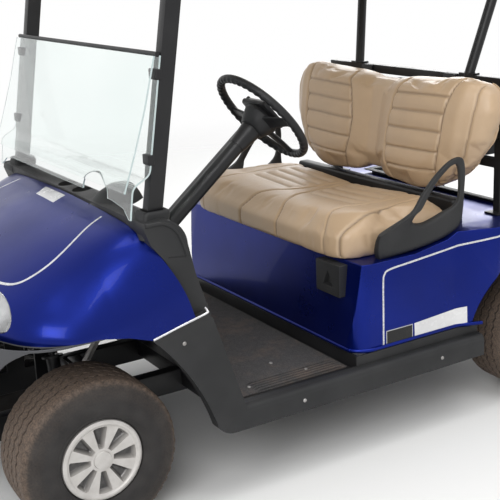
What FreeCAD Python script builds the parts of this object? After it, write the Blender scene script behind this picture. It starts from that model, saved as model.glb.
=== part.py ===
"""Two-seat electric golf cart: frame, suspension, wheels, body shells, seat, canopy.

Frame: X forward, Y to the driver's side, Z up, millimetres.
The origin is on the ground under the middle of the vehicle.
"""
import FreeCAD, Part
import math
import os

# Overall sizes
LENGTH = 2400.0
WIDTH = 1190.0
HEIGHT = 1790.0

# Wheels and axles
WHEELBASE = 1670.0
FRONT_TRACK = 896.0
REAR_TRACK = 965.0
TYRE_DIAMETER = 457.2
TYRE_WIDTH = 216.0
TREAD_WIDTH = 160.0
BEAD_DIAMETER = 209.2
RIM_WIDTH = 176.0
RIM_WALL = 8.0
RIM_GAP = 0.3
HUB_FACE = 44.0
LUG_HOLES = 4
LUG_CIRCLE = 104.0
LUG_HOLE = 13.0
STUB_DIAMETER = 28.0
HUB_DIAMETER = 76.0
HUB_CLEARANCE = 0.05
COVER_DIAMETER = 235.0
COVER_WALL = 3.0
COVER_WINDOWS = 8
COVER_POCKET = 20.0
POCKET_END = 97.0
COVER_OUT = 99.0

# Steering and front suspension
KINGPIN_IN = 88.0
KINGPIN_Y = FRONT_TRACK / 2 - KINGPIN_IN
KINGPIN_DIAMETER = 32.0
BALL_JOINT_RISE = 58.0
BALL_BOSS_HEIGHT = 18.0
BALL_BOSS_DIAMETER = 34.0
PIVOT_GAP = 0.3
ARM_TUBE_DIAMETER = 14.0
ARM_SPREAD = 85.0
STEER_ARM_BACK = 110.0
STEER_ARM_IN = 50.0
TIE_ROD_DIAMETER = 16.0
TIE_ROD_GAP = 5.5
TIE_ROD_KNEE = KINGPIN_Y - 115.0
RACK_Z = 290.0
RACK_HALF = 140.0
DAMPER_FOOT_Y = KINGPIN_Y - 74.0
DAMPER_FOOT_Z = 170.6
TOWER_Z = 452.0
SPRING_TURNS = 7
SPRING_PITCH = 22.0
SPRING_RADIUS = 25.0
SPRING_WIRE = 11.5
STEER_WHEEL_Y = 270.0
STEER_WHEEL_X = 114.0
STEER_WHEEL_Z = 1048.0
STEER_WHEEL_DIAMETER = 350.0
STEER_GRIP_DIAMETER = 26.0
COLUMN_SLOPE = 39.5
COLUMN_DIAMETER = 46.0
COLUMN_LENGTH = 526.0
COLUMN_START = 54.3
COLLAR_DIAMETER = 68.0
COLLAR_LENGTH = 70.0

# Rear axle
AXLE_TUBE_DIAMETER = 68.0
DRUM_DIAMETER = 160.0
MOTOR_DIAMETER = 168.0

# Chassis
RAIL_OUT = 180.0
RAIL_WIDTH = 40.0
DAMPER_HEAD_Y = RAIL_OUT + 34.0
TOWER_OUT = RAIL_OUT + 56.0
TOWER_HALF = 30.0
TOWER_PLATE = 10.0
RAIL_HEIGHT = 76.0
FLOOR_TOP = 272.0
FLOOR_WALL = 8.0
REAR_RAIL_TOP = 432.0
RAIL_FRONT_X = LENGTH / 2 - 80.0
RAIL_END_X = -LENGTH / 2 + 50.0
REAR_MEMBER_X = RAIL_END_X + 30.0
REAR_RAIL_HEIGHT = 60.0
MEMBER_HALF = 22.0
BEAM_POST_Y = 100.0
BEAM_Z = 431.0
BEAM_WALL = 18.0
HITCH_DIAMETER = 16.0
SPRING_Y = 296.0
SPRING_WIDTH = 45.0

# Body shells
BODY_HALF = 585.0
SHELL_WALL = 4.0
SILL_WIDTH = 40.0
SILL_INNER = BODY_HALF - SILL_WIDTH
SILL_BOTTOM = 212.0
SILL_TOP = 285.0
SILL_REAR = -522.0
COWL_NOSE_X = LENGTH / 2 - 74.0
COWL_CORNER_X = COWL_NOSE_X - 283.0
COWL_CORNER_R = 200.0
COWL_NOSE_R = 1134.0
COWL_LOWER_Z = 590.0
FASCIA_CORNER_X = LENGTH / 2 - 295.0
FASCIA_CORNER_R = 180.0
FASCIA_NOSE_R = 1180.0
FASCIA_HALF = BODY_HALF - 8.0
FASCIA_FOOT_Y = 395.0
FASCIA_BOTTOM = 330.0
AIR_SLOT_HALF = 170.0
AIR_SLOT_HEIGHT = 28.0
AIR_SLOT_PLACES = (400.0, 452.0)
LAMP_X = COWL_NOSE_X - 226.0
LAMP_Y = BODY_HALF - 250.0
LAMP_Z = 652.0
LAMP_HALF_WIDTH = 95.0
LAMP_HALF_HEIGHT = 38.0
LAMP_TILT = 14.0
LAMP_TOE_OUT = 12.0
LAMP_DEPTH = 28.0
BASE_FRONT_X = -20.0
BASE_TOP = 604.7
BASE_BOTTOM = 318.0
BASE_HALF = BODY_HALF - 35.0
REAR_ARCH_R = 367.0
DECK_TOP = 645.0
BAG_HALF = 350.0
BAG_FRONT_X = -790.0
BAG_REAR_X = -1140.0

# Seat
CUSHION_FRONT_X = -32.0
CUSHION_REAR_X = -490.0
HIP_OUTER = BASE_HALF - 10.0
HIP_WIDTH = 48.0
CUSHION_HALF = HIP_OUTER - HIP_WIDTH - 14.0
CUSHION_BOTTOM = 605.0
CUSHION_GAP = 5.0
CUSHION_TOP = 722.0
SEAT_BACK_HALF = CUSHION_HALF + 17.0
SEAT_BACK_BOTTOM = 732.0
SEAT_BACK_TOP = 1105.0
SEAT_BACK_DEPTH = 105.0
SEAT_BACK_LEAN = 11.0

# Dash: pockets open to the rear are y0, y1, z0, z1 and the x of the pocket's back
DASH_POCKETS = (
    (-440.0, -150.0, 640.0, 780.0, 680.0),
    (-120.0, 110.0, 650.0, 770.0, 680.0),
    (360.0, 440.0, 660.0, 780.0, 650.0),
)
CUP_PLACES = (-60.0, 50.0)
CUP_X = 628.0
CUP_DIAMETER = 64.0
CUP_BOTTOM = 790.0
HUMP_X = 570.0
HUMP_Y = 225.0
HUMP_Z = 780.0
HUMP_RADIUS = 125.0

# Struts, hoop and canopy
STRUT_Y = BODY_HALF - 85.0
STRUT_WIDTH = 32.0
STRUT_DEPTH = 44.0
STRUT_BASE_Z = 640.0
STRUT_FOOT_X = 621.0
STRUT_FOOT_Z = 841.0
STRUT_LEAN = 9.8
HOOP_X = -700.0
HOOP_HALF = 475.0
HOOP_TUBE = 30.0
HOOP_TOP = 1100.0
BASKET_HALF = 380.0
BASKET_DEPTH = 250.0
BASKET_BOTTOM = 830.0
BASKET_TOP = 1010.0
ACCESSORY_Z = 950.0
ACCESSORY_PITCH = 100.0
ACCESSORY_HOLE = 9.0
REAR_STRUT_DIAMETER = 34.0
REAR_STRUT_FOOT_Y = 303.0
REAR_STRUT_SPREAD = 123.0
REAR_STRUT_RAKE = 138.0
CANOPY_FRONT_X = 640.0
CANOPY_REAR_X = -1010.0
CANOPY_HALF = 560.0
CANOPY_CORNER_R = 130.0
CANOPY_WALL = 5.0
CANOPY_SKIRT = 62.0
CANOPY_CROWN_R = 14000.0
ACRYLIC_WALL = 5.0
PANE_LEG_Y = STRUT_Y - 55.0
PANE_EDGE_Z = 900.0
PANE_NOTCH_Y = 280.0
PANE_NOTCH_R = 95.0

# Derived places
FRONT_X = WHEELBASE / 2
REAR_X = -WHEELBASE / 2
AXLE_Z = TYRE_DIAMETER / 2
MOTOR_X = REAR_X + 110.0
MOTOR_Z = AXLE_Z + 20.0
CANOPY_UNDER = HEIGHT - 50.0
HINGE_Z = 1287.0
BAG_FLOOR = REAR_RAIL_TOP


def vec(x, y, z):
    return FreeCAD.Vector(x, y, z)


def box(x0, x1, y0, y1, z0, z1):
    """Block between two opposite corners."""
    return Part.makeBox(x1 - x0, y1 - y0, z1 - z0, vec(x0, y0, z0))


def outline(rows, place):
    """Closed face from rows of (a, b) corners, or (a, b, mid_a, mid_b) for an arc that ends there."""
    edges = []
    before = place(rows[0][0], rows[0][1])
    for row in rows[1:] + rows[:1]:
        here = place(row[0], row[1])
        if len(row) == 4:
            edges.append(Part.Arc(before, place(row[2], row[3]), here).toShape())
        else:
            edges.append(Part.LineSegment(before, here).toShape())
        before = here
    return Part.Face(Part.Wire(edges))


def prism_y(rows, y0, y1):
    """Side-view outline (x, z) swept across the cart."""
    return outline(rows, lambda a, b: vec(a, y0, b)).extrude(vec(0, y1 - y0, 0))


def prism_x(rows, x0, x1):
    """Front-view outline (y, z) swept along the cart."""
    return outline(rows, lambda a, b: vec(x0, a, b)).extrude(vec(x1 - x0, 0, 0))


def prism_z(rows, z0, z1):
    """Plan outline (x, y) swept upward."""
    return outline(rows, lambda a, b: vec(a, b, z0)).extrude(vec(0, 0, z1 - z0))


def ring_y(rows):
    """Section (offset along Y, radius) revolved about the Y axis."""
    face = outline(rows, lambda a, b: vec(0, a, b))
    return face.revolve(vec(0, 0, 0), vec(0, 1, 0), 360)


def rod(start, end, radius):
    """Round bar between two points."""
    span = end - start
    return Part.makeCylinder(radius, span.Length, start, span)


def square_bar(start, end, depth, width):
    """Rectangular tube between two points in a plane of constant y."""
    span = end - start
    side = vec(0, 1, 0)
    up = span.cross(side)
    up.normalize()
    corners = []
    for a, b in ((-1, -1), (1, -1), (1, 1), (-1, 1)):
        corners.append(start + up * (a * depth / 2) + side * (b * width / 2))
    return Part.Face(Part.makePolygon(corners + corners[:1])).extrude(span)


def strip(points, wall):
    """Side-view rows of a sheet of one thickness, on the left of its line of (x, z) points."""
    far = []
    for i, (x, z) in enumerate(points):
        normals = []
        for j in (i - 1, i):
            if 0 <= j < len(points) - 1:
                run_x = points[j + 1][0] - points[j][0]
                run_z = points[j + 1][1] - points[j][1]
                size = math.hypot(run_x, run_z)
                normals.append((-run_z / size, run_x / size))
        sum_x = sum(n[0] for n in normals)
        sum_z = sum(n[1] for n in normals)
        scale = wall * len(normals) / (sum_x * sum_x + sum_z * sum_z)
        far.append((x + sum_x * scale, z + sum_z * scale))
    return list(points) + far[::-1]


def fuse(shapes):
    """One solid from touching or crossing pieces."""
    whole = shapes[0].fuse(shapes[1:])
    return whole.removeSplitter()


def mirrored(shape):
    """The same piece on the other side of the cart."""
    return shape.mirror(vec(0, 0, 0), vec(0, 1, 0))


def pair(shape):
    """A left piece and its right twin, as separate solids of one node."""
    return Part.makeCompound([shape, mirrored(shape)])


def save(name, shape):
    shape.exportStep("parts/" + name + ".step")


def tyre():
    """Low-pressure tyre, one closed ring from the bead seat to the crown of the tread."""
    half = TYRE_WIDTH / 2
    bead = BEAD_DIAMETER / 2
    crown = TYRE_DIAMETER / 2
    tread = TREAD_WIDTH / 2
    shoulder = half - 9.0
    rows = [
        (-half + 22, bead),
        (half - 22, bead),
        (half - 20, bead + 15),
        (shoulder, crown - 30, half, crown - 75),
        (tread, crown - 2.5, shoulder - 6, crown - 10),
        (-tread, crown - 2.5, 0, crown),
        (-shoulder, crown - 30, -shoulder + 6, crown - 10),
        (-half + 20, bead + 15, -half, crown - 75),
    ]
    return ring_y(rows)


def rim():
    """Pressed-steel wheel: barrel, dished web with lug holes, and hub."""
    seat = BEAD_DIAMETER / 2 - RIM_GAP
    inner = seat - RIM_WALL
    hub = HUB_DIAMETER / 2
    bore = STUB_DIAMETER / 2 + HUB_CLEARANCE
    half = RIM_WIDTH / 2
    rows = [
        (-half, seat),
        (-half, inner),
        (26, inner),
        (12, hub),
        (-30, hub),
        (-30, bore),
        (HUB_FACE, bore),
        (HUB_FACE, hub - 6),
        (22, hub),
        (34, inner),
        (half, inner),
        (half, seat),
    ]
    wheel = ring_y(rows)
    for i in range(LUG_HOLES):
        turn = math.radians(360.0 * (i + 0.5) / LUG_HOLES)
        centre = vec(LUG_CIRCLE / 2 * math.cos(turn), -40, LUG_CIRCLE / 2 * math.sin(turn))
        wheel = wheel.cut(Part.makeCylinder(LUG_HOLE / 2, 120, centre, vec(0, 1, 0)))
    return wheel


def cover():
    """Moulded wheel cover: raised rim, eight flat spokes between deep pockets, plain centre disc."""
    outer = COVER_DIAMETER / 2
    wall = COVER_WALL
    face = COVER_OUT
    seat = RIM_WIDTH / 2 + RIM_GAP
    rows = [
        (face - 9, outer),
        (seat, outer - 13),
        (seat, outer - 21),
        (face - 4 - wall, outer - 24),
        (face - 7 - wall, 36),
        (face - 3 - wall, 20),
        (face - 3 - wall, 0),
        (face - 1, 0),
        (face - 2, 25),
        (face - 7, 32),
        (face - 4, outer - 19),
        (face, outer - 13),
        (face, outer - 7),
        (face - 3, outer - 1),
    ]
    disc = ring_y(rows)
    for grow in (wall - 0.5, 0.0):
        pocket = pocket_form(grow)
        for i in range(COVER_WINDOWS):
            turned = pocket.copy()
            turned.rotate(vec(0, 0, 0), vec(0, 1, 0), 360.0 * i / COVER_WINDOWS)
            disc = disc.fuse(turned) if grow > 0 else disc.cut(turned)
    return disc.removeSplitter()


def pocket_form(grow):
    """One pocket of the cover, from its wide mouth between the spokes to its smaller floor."""
    wires = []
    # Mouth and floor: inner and outer radius, share of the pitch, offset from the wheel's middle
    ends = (
        (34.0 - grow, POCKET_END + grow, 0.50, COVER_OUT - 5 - grow * 0.4 + (0.0 if grow else 8.0)),
        (52.0 - grow, POCKET_END - 16 + grow, 0.28, COVER_OUT - COVER_POCKET - grow),
    )
    for near, far, share, offset in ends:
        spread = math.tan(math.pi / COVER_WINDOWS * share)
        half_near = near * spread + grow
        half_far = far * spread + grow
        rows = [
            (-half_near, near),
            (half_near, near),
            (half_far, far - 4),
            (-half_far, far - 4, 0, far),
        ]
        wires.append(outline(rows, lambda a, b: vec(a, offset, b)).OuterWire)
    return Part.makeLoft(wires, True, True)


def wheels():
    """Four wheels of three nodes each, the right ones mirrored from the left."""
    forms = (("tyre_", tyre()), ("rim_", rim()), ("cover_", cover()))
    corners = (
        ("fl", FRONT_X, FRONT_TRACK / 2),
        ("fr", FRONT_X, -FRONT_TRACK / 2),
        ("rl", REAR_X, REAR_TRACK / 2),
        ("rr", REAR_X, -REAR_TRACK / 2),
    )
    for prefix, form in forms:
        for corner, x, y in corners:
            placed = form.copy() if y > 0 else mirrored(form)
            placed.translate(vec(x, y, AXLE_Z))
            save(prefix + corner, placed)


def knuckle():
    """Left steering knuckle: kingpin post, stub axle with nut, and steering arm."""
    post_bottom = AXLE_Z - BALL_JOINT_RISE + PIVOT_GAP
    post_top = AXLE_Z + BALL_JOINT_RISE - PIVOT_GAP
    foot = vec(FRONT_X, KINGPIN_Y, post_bottom)
    post = Part.makeCylinder(KINGPIN_DIAMETER / 2, post_top - post_bottom, foot)
    hub_back = FRONT_TRACK / 2 - 30
    hub_front = FRONT_TRACK / 2 + HUB_FACE
    carrier = rod(vec(FRONT_X, KINGPIN_Y, AXLE_Z), vec(FRONT_X, hub_back - 1, AXLE_Z), 26)
    stub = rod(vec(FRONT_X, KINGPIN_Y, AXLE_Z), vec(FRONT_X, hub_front + 18, AXLE_Z), STUB_DIAMETER / 2)
    nut = rod(vec(FRONT_X, hub_front + 1, AXLE_Z), vec(FRONT_X, hub_front + 14, AXLE_Z), 21)
    arm_x = FRONT_X - STEER_ARM_BACK
    arm_y = KINGPIN_Y - STEER_ARM_IN
    plan = [
        (FRONT_X - 8, KINGPIN_Y + 12),
        (arm_x - 8, arm_y + 9),
        (arm_x - 2, arm_y - 12, arm_x - 13, arm_y - 3),
        (FRONT_X, KINGPIN_Y - 15),
    ]
    arm = prism_z(plan, AXLE_Z - 6, AXLE_Z + 6)
    return fuse([post, carrier, stub, nut, arm])


def front_suspension():
    """A-arms above and below the left axle, with a coil-over leg up to the frame's tower."""
    solids = []
    for rise, sign in ((-BALL_JOINT_RISE, -1), (BALL_JOINT_RISE, 1)):
        middle = AXLE_Z + rise + sign * BALL_BOSS_HEIGHT / 2
        boss = Part.makeCylinder(BALL_BOSS_DIAMETER / 2, BALL_BOSS_HEIGHT,
                                 vec(FRONT_X, KINGPIN_Y, middle - BALL_BOSS_HEIGHT / 2))
        solids.append(boss)
        height = AXLE_Z + sign * (RAIL_HEIGHT / 2 + 6)
        for spread in (-ARM_SPREAD, ARM_SPREAD):
            root = vec(FRONT_X + spread, RAIL_OUT, height)
            leg = rod(root, vec(FRONT_X, KINGPIN_Y - 8, middle), ARM_TUBE_DIAMETER / 2)
            solids.append(leg)
    pin = vec(FRONT_X, DAMPER_FOOT_Y, DAMPER_FOOT_Z)
    solids.insert(3, rod(pin - vec(34, 0, 0), pin + vec(34, 0, 0), 6))
    lower = fuse(solids[:4])
    upper = fuse(solids[4:])
    rail_side = box(FRONT_X - 200, FRONT_X + 200, RAIL_OUT - 80, RAIL_OUT, 0, 600)
    return [lower.cut(rail_side), upper.cut(rail_side)]


def coil_over():
    """Damper with its coil spring as stacked turns, from the lower arm to the tower."""
    foot = vec(FRONT_X, DAMPER_FOOT_Y, DAMPER_FOOT_Z)
    head = vec(FRONT_X, DAMPER_HEAD_Y, TOWER_Z)
    span = head - foot
    along = span * (1.0 / span.Length)
    pieces = [rod(foot, head, 9), rod(foot + along * 60, head - along * 20, 20)]
    for i in range(SPRING_TURNS):
        pieces.append(spring_turn(foot + along * (78 + i * SPRING_PITCH), along))
    pieces.append(Part.makeCylinder(31, 6, foot + along * 64, along))
    pieces.append(Part.makeCylinder(31, 6, head - along * 28, along))
    return fuse(pieces)


def spring_turn(centre, along):
    """One turn of the coil spring as a ring with a six-sided section."""
    across = vec(1, 0, 0)
    corners = []
    for i in range(6):
        turn = math.radians(60 * i)
        reach = SPRING_RADIUS + SPRING_WIRE / 2 * math.cos(turn)
        corners.append(centre + across * reach + along * (SPRING_WIRE / 2 * math.sin(turn)))
    return Part.Face(Part.makePolygon(corners + corners[:1])).revolve(centre, along, 360)


def chassis_rail():
    """Left box rail with a kick-up over the rear axle, and the front damper's tower."""
    top = FLOOR_TOP - FLOOR_WALL
    low = top - RAIL_HEIGHT
    inner = RAIL_OUT - RAIL_WIDTH
    rear_low = REAR_RAIL_TOP - REAR_RAIL_HEIGHT
    rows = [
        (RAIL_FRONT_X, low + 30),
        (RAIL_FRONT_X, top),
        (-440, top),
        (-560, REAR_RAIL_TOP),
        (RAIL_END_X, REAR_RAIL_TOP),
        (RAIL_END_X, rear_low),
        (-540, rear_low),
        (-430, low),
        (RAIL_FRONT_X - 60, low),
    ]
    x0 = FRONT_X - TOWER_HALF
    x1 = FRONT_X + TOWER_HALF
    shelf = box(x0, x1, inner, TOWER_OUT, TOWER_Z, TOWER_Z + TOWER_PLATE)
    column = box(x0, x1, inner, inner + TOWER_PLATE, top, TOWER_Z + TOWER_PLATE)
    return fuse([prism_y(rows, inner, RAIL_OUT), shelf, column])


def cross_members():
    """Cross members between the rails with their outriggers, and the front bumper's bracket."""
    top = FLOOR_TOP - FLOOR_WALL
    low = top - RAIL_HEIGHT
    inner = RAIL_OUT - RAIL_WIDTH
    rear_low = REAR_RAIL_TOP - REAR_RAIL_HEIGHT
    front_x = RAIL_FRONT_X - 30
    # Cross members: x, half length, bottom, top
    members = (
        (front_x, 250, low + 20, top),
        (640, RAIL_OUT, low, top),
        (380, SILL_INNER, low + 20, top),
        (60, SILL_INNER, low + 20, top),
        (-400, SILL_INNER, low + 20, top),
        (-590, SPRING_Y + 30, rear_low, REAR_RAIL_TOP),
        (REAR_MEMBER_X, SPRING_Y + 30, rear_low, REAR_RAIL_TOP),
    )
    between = []
    outriggers = []
    for x, half, z0, z1 in members:
        x0 = x - MEMBER_HALF
        x1 = x + MEMBER_HALF
        between.append(box(x0, x1, -inner, inner, z0, z1))
        if half > RAIL_OUT:
            outrigger = box(x0, x1, RAIL_OUT, half, z0, z1)
            outriggers += [outrigger, mirrored(outrigger)]
    front = [between[0]]
    for y0 in (-BEAM_POST_Y - 30, BEAM_POST_Y):
        front.append(box(front_x - MEMBER_HALF, front_x + MEMBER_HALF, y0, y0 + 30, top, BEAM_Z + 1))
    beam = box(front_x - MEMBER_HALF, LENGTH / 2, -150, 150, BEAM_Z, BEAM_Z + BEAM_WALL)
    front.append(beam.common(fascia_block(SHELL_WALL + 0.3)))
    between[0] = fuse(front)
    pin = Part.makeCylinder(HITCH_DIAMETER / 2, 200, vec(REAR_MEMBER_X, 0, REAR_RAIL_TOP - 100))
    between[-1] = between[-1].cut(pin)
    return Part.makeCompound(between + outriggers)


def rear_axle():
    """Transaxle: tube, gear case, drive motor, brake drums and the two stub ends."""
    end = REAR_TRACK / 2
    drum = end - 112
    pieces = [rod(vec(REAR_X, -drum - 2, AXLE_Z), vec(REAR_X, drum + 2, AXLE_Z), AXLE_TUBE_DIAMETER / 2)]
    pieces.append(Part.makeCylinder(98, 120, vec(REAR_X, -20, AXLE_Z), vec(0, 1, 0)))
    pieces.append(Part.makeCylinder(60, 110, vec(MOTOR_X, -20, MOTOR_Z), vec(0, 1, 0)))
    pieces.append(box(REAR_X, MOTOR_X, -20, 90, AXLE_Z - 45, AXLE_Z + 75))
    pieces.append(Part.makeCylinder(MOTOR_DIAMETER / 2, 210, vec(MOTOR_X, -230, MOTOR_Z), vec(0, 1, 0)))
    for side in (-1, 1):
        start = vec(REAR_X, side * drum, AXLE_Z)
        pieces.append(Part.makeCylinder(DRUM_DIAMETER / 2, 56, start, vec(0, side, 0)))
        pieces.append(Part.makeCylinder(26, 81, start, vec(0, side, 0)))
        pieces.append(Part.makeCylinder(STUB_DIAMETER / 2, 112 + 62, start, vec(0, side, 0)))
        nut = vec(REAR_X, side * (end + 45), AXLE_Z)
        pieces.append(Part.makeCylinder(21, 13, nut, vec(0, side, 0)))
    return fuse(pieces)


def rear_spring():
    """Leaf spring over the left axle tube, hung from the frame's cross members."""
    y0 = SPRING_Y - SPRING_WIDTH / 2
    y1 = SPRING_Y + SPRING_WIDTH / 2
    seat = AXLE_Z + AXLE_TUBE_DIAMETER / 2 + 0.3
    eye_z = REAR_RAIL_TOP - 60
    leaves = [
        (REAR_X + 245, eye_z - 26),
        (REAR_X - 285, eye_z - 26, REAR_X, seat),
        (REAR_X - 285, eye_z - 18),
        (REAR_X + 245, eye_z - 18, REAR_X, seat + 14),
    ]
    pieces = [prism_y(leaves, y0, y1)]
    for x in (REAR_X + 245, REAR_X - 285):
        pieces.append(box(x - 14, x + 14, y0, y1, eye_z - 34, eye_z))
    pieces.append(box(REAR_X - 45, REAR_X + 45, y0, y1, seat + 2, seat + 24))
    return fuse(pieces)


# Underside of the floor sheet from the step under the seat base to the top of the toe board: x, z
FLOOR_LINE = [(BASE_FRONT_X - 10, BASE_BOTTOM - 0.3), (BASE_FRONT_X - 10, FLOOR_TOP - FLOOR_WALL),
              (402.0, FLOOR_TOP - FLOOR_WALL), (495.0, 574.0)]


def floor_pan():
    """Floor and sloping toe board pressed from one sheet."""
    return prism_y(strip(FLOOR_LINE, FLOOR_WALL), -SILL_INNER, SILL_INNER)


def sill():
    """Left rocker moulding, with its front flare that forms the rear edge of the wheel arch."""
    bar_rows = [
        (SILL_INNER, SILL_BOTTOM),
        (BODY_HALF, SILL_BOTTOM),
        (BODY_HALF, SILL_TOP - 24),
        (BODY_HALF - 24, SILL_TOP, BODY_HALF - 7, SILL_TOP - 7),
        (SILL_INNER, SILL_TOP),
    ]
    bar = prism_x(bar_rows, SILL_REAR, 441)
    # Side view of the flare: x, z and the middle of an arc that ends there
    flare_rows = [
        (397, SILL_BOTTOM),
        (441, SILL_BOTTOM),
        (494, 240, 472, 220),
        (681, 551, 561, 395),
        (513, 592),
        (495, 574),
        (402, SILL_TOP),
    ]
    flare = prism_y(flare_rows, SILL_INNER, BODY_HALF)
    upstand = box(SILL_REAR, BASE_FRONT_X, SILL_INNER, BASE_HALF, SILL_TOP - 5, BASE_BOTTOM - 0.3)
    return fuse([bar, flare, upstand])


def nose_plan(offset, front, corner_x, corner_r, nose_r, half, rear):
    """Plan rows of a rounded nose: straight sides, corner arcs and one wide front arc."""
    w = half - offset
    r = corner_r - offset
    cy = half - corner_r
    nose_centre = front - nose_r
    big = nose_r - offset
    turn = math.atan2(cy, corner_x - nose_centre)
    tan_x = corner_x + r * math.cos(turn)
    tan_y = cy + r * math.sin(turn)
    mid = (turn + math.pi / 2) / 2
    mid_x = corner_x + r * math.cos(mid)
    mid_y = cy + r * math.sin(mid)
    return [
        (rear, -w),
        (corner_x, -w),
        (tan_x, -tan_y, mid_x, -mid_y),
        (tan_x, tan_y, nose_centre + big, 0),
        (corner_x, w, mid_x, mid_y),
        (rear, w),
    ]


# Cowl sections: distance back from the nose, side height, arc middle (inset from the side, z),
# shoulder (inset, z), crown height
COWL_SECTIONS = (
    (626.0, 680.0, 19.0, 800.0, 115.0, 872.0, 892.0),
    (426.0, 630.0, 25.0, 742.0, 145.0, 818.0, 848.0),
    (266.0, 585.0, 33.0, 685.0, 180.0, 760.0, 794.0),
    (126.0, 560.0, 55.0, 630.0, 255.0, 700.0, 722.0),
    (-54.0, 520.0, 165.0, 560.0, 385.0, 586.0, 594.0),
)


def cowl_crown(offset):
    """Solid under the cowl's top skin, lofted through its cross-sections."""
    wires = []
    out = BODY_HALF + 20
    for back, side_z, mid_in, mid_z, shoulder_in, zs, crown in COWL_SECTIONS:
        x = COWL_NOSE_X - back
        mid_y = BODY_HALF - mid_in
        ys = BODY_HALF - shoulder_in
        rows = [
            (-out, 300.0),
            (out, 300.0),
            (out, side_z - offset),
            (ys, zs - offset, mid_y, mid_z - offset),
            (-ys, zs - offset, 0, crown - offset),
            (-out, side_z - offset, -mid_y, mid_z - offset),
        ]
        wires.append(outline(rows, lambda a, b: vec(x, a, b)).OuterWire)
    return Part.makeLoft(wires, True, True)


def cowl_block(offset):
    """Cowl as a filled form, each wall moved in by the offset."""
    plan = nose_plan(offset, COWL_NOSE_X, COWL_CORNER_X, COWL_CORNER_R, COWL_NOSE_R, BODY_HALF, 520.0)
    wall = prism_z(plan, 540.0, 900.0)
    return cowl_crown(offset).common(wall)


# Rear edge of the cowl in side view, from the hood down to the flare: x, z
COWL_REAR_EDGE = [(676.0, 900.0), (670.0, 845.0), (656.0, 806.0), (618.0, 756.0), (592.0, 710.0),
                  (570.0, 657.0), (548.0, 586.0)]
# Lower edge of the cowl: flare line, wheel arch and fascia line
COWL_LOWER_EDGE = [(681.0, 551.0), (746.0, 574.0), (830.0, COWL_LOWER_Z), (1250.0, COWL_LOWER_Z)]


def cowl_keep():
    """Side-view region that the cowl's skin covers."""
    rows = COWL_REAR_EDGE + COWL_LOWER_EDGE + [(1250.0, 900.0)]
    return prism_y(rows, -BODY_HALF - 5, BODY_HALF + 5)


def lamp_region(grow):
    """Slanted oval on the left front corner that the headlamp fills."""
    centre = vec(LAMP_X, LAMP_Y, LAMP_Z)
    curve = Part.Ellipse(centre, LAMP_HALF_WIDTH + grow, LAMP_HALF_HEIGHT + grow)
    face = Part.Face(Part.Wire(curve.toShape()))
    face.rotate(centre, vec(1, 0, 0), 90)
    face.rotate(centre, vec(0, 0, 1), 90)
    face.rotate(centre, vec(1, 0, 0), -LAMP_TILT)
    face.rotate(centre, vec(0, 0, 1), LAMP_TOE_OUT)
    toe = math.radians(LAMP_TOE_OUT)
    return face.extrude(vec(300 * math.cos(toe), 300 * math.sin(toe), 0))


def headlamp(block):
    """Left headlamp: lens and housing as deep as the shell, flush with the cowl."""
    return block.common(lamp_region(0)).cut(cowl_block(LAMP_DEPTH))


def fascia_block(offset):
    """Front moulding as a filled form, each wall moved in by the offset."""
    top = COWL_LOWER_Z
    low = FASCIA_BOTTOM
    reach = offset * 3
    front = LENGTH / 2
    rear = 800.0 - reach
    plan = nose_plan(offset, front, FASCIA_CORNER_X, FASCIA_CORNER_R, FASCIA_NOSE_R, FASCIA_HALF, rear)
    wall = prism_z(plan, low - reach, top + reach)
    side = [
        (780 - reach, low - reach),
        (front - 30 - offset, low - reach),
        (front - offset, low + 60),
        (front - offset, 455),
        (COWL_NOSE_X - offset + 4, top + reach),
        (780 - reach, top + reach),
    ]
    return wall.common(prism_y(side, -BODY_HALF, BODY_HALF))


def front_arch():
    """Left front wheel's room in the bumper: its corner sweeps up from the foot to the cowl's edge."""
    out = BODY_HALF + 20
    top = COWL_LOWER_Z - 7
    rows = [
        (FASCIA_FOOT_Y, FASCIA_BOTTOM - 20),
        (FASCIA_FOOT_Y, FASCIA_BOTTOM),
        (BODY_HALF - 40, top, FASCIA_FOOT_Y + 62, top - 74),
        (out, top),
        (out, FASCIA_BOTTOM - 20),
    ]
    return prism_x(rows, FRONT_X - 100, LENGTH / 2 + 20)


def fascia():
    """Front bumper moulding under the cowl, cut by the wheel arches and two air slots."""
    shell = fascia_block(0.0).cut(fascia_block(SHELL_WALL))
    seat_plan = nose_plan(0, COWL_NOSE_X, COWL_CORNER_X, COWL_CORNER_R, COWL_NOSE_R, BODY_HALF, 520.0)
    hole_plan = nose_plan(24, COWL_NOSE_X, COWL_CORNER_X, COWL_CORNER_R, COWL_NOSE_R, BODY_HALF, 500.0)
    seat = prism_z(seat_plan, COWL_LOWER_Z - SHELL_WALL, COWL_LOWER_Z)
    seat = seat.cut(prism_z(hole_plan, COWL_LOWER_Z - 20, COWL_LOWER_Z + 5))
    seat = seat.common(fascia_block(0.0))
    shell = fuse([shell, seat])
    shell = shell.cut(front_arch()).cut(mirrored(front_arch()))
    for z in AIR_SLOT_PLACES:
        slot = box(LENGTH / 2 - 100, LENGTH / 2 + 5, -AIR_SLOT_HALF, AIR_SLOT_HALF, z, z + AIR_SLOT_HEIGHT)
        shell = shell.cut(slot)
    return shell


def column_axis():
    slope = math.radians(COLUMN_SLOPE)
    return vec(math.cos(slope), 0, -math.sin(slope))


def column_point(distance):
    """Point on the steering axis, measured down from the middle of the steering wheel."""
    return vec(STEER_WHEEL_X, STEER_WHEEL_Y, STEER_WHEEL_Z) + column_axis() * distance


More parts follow.
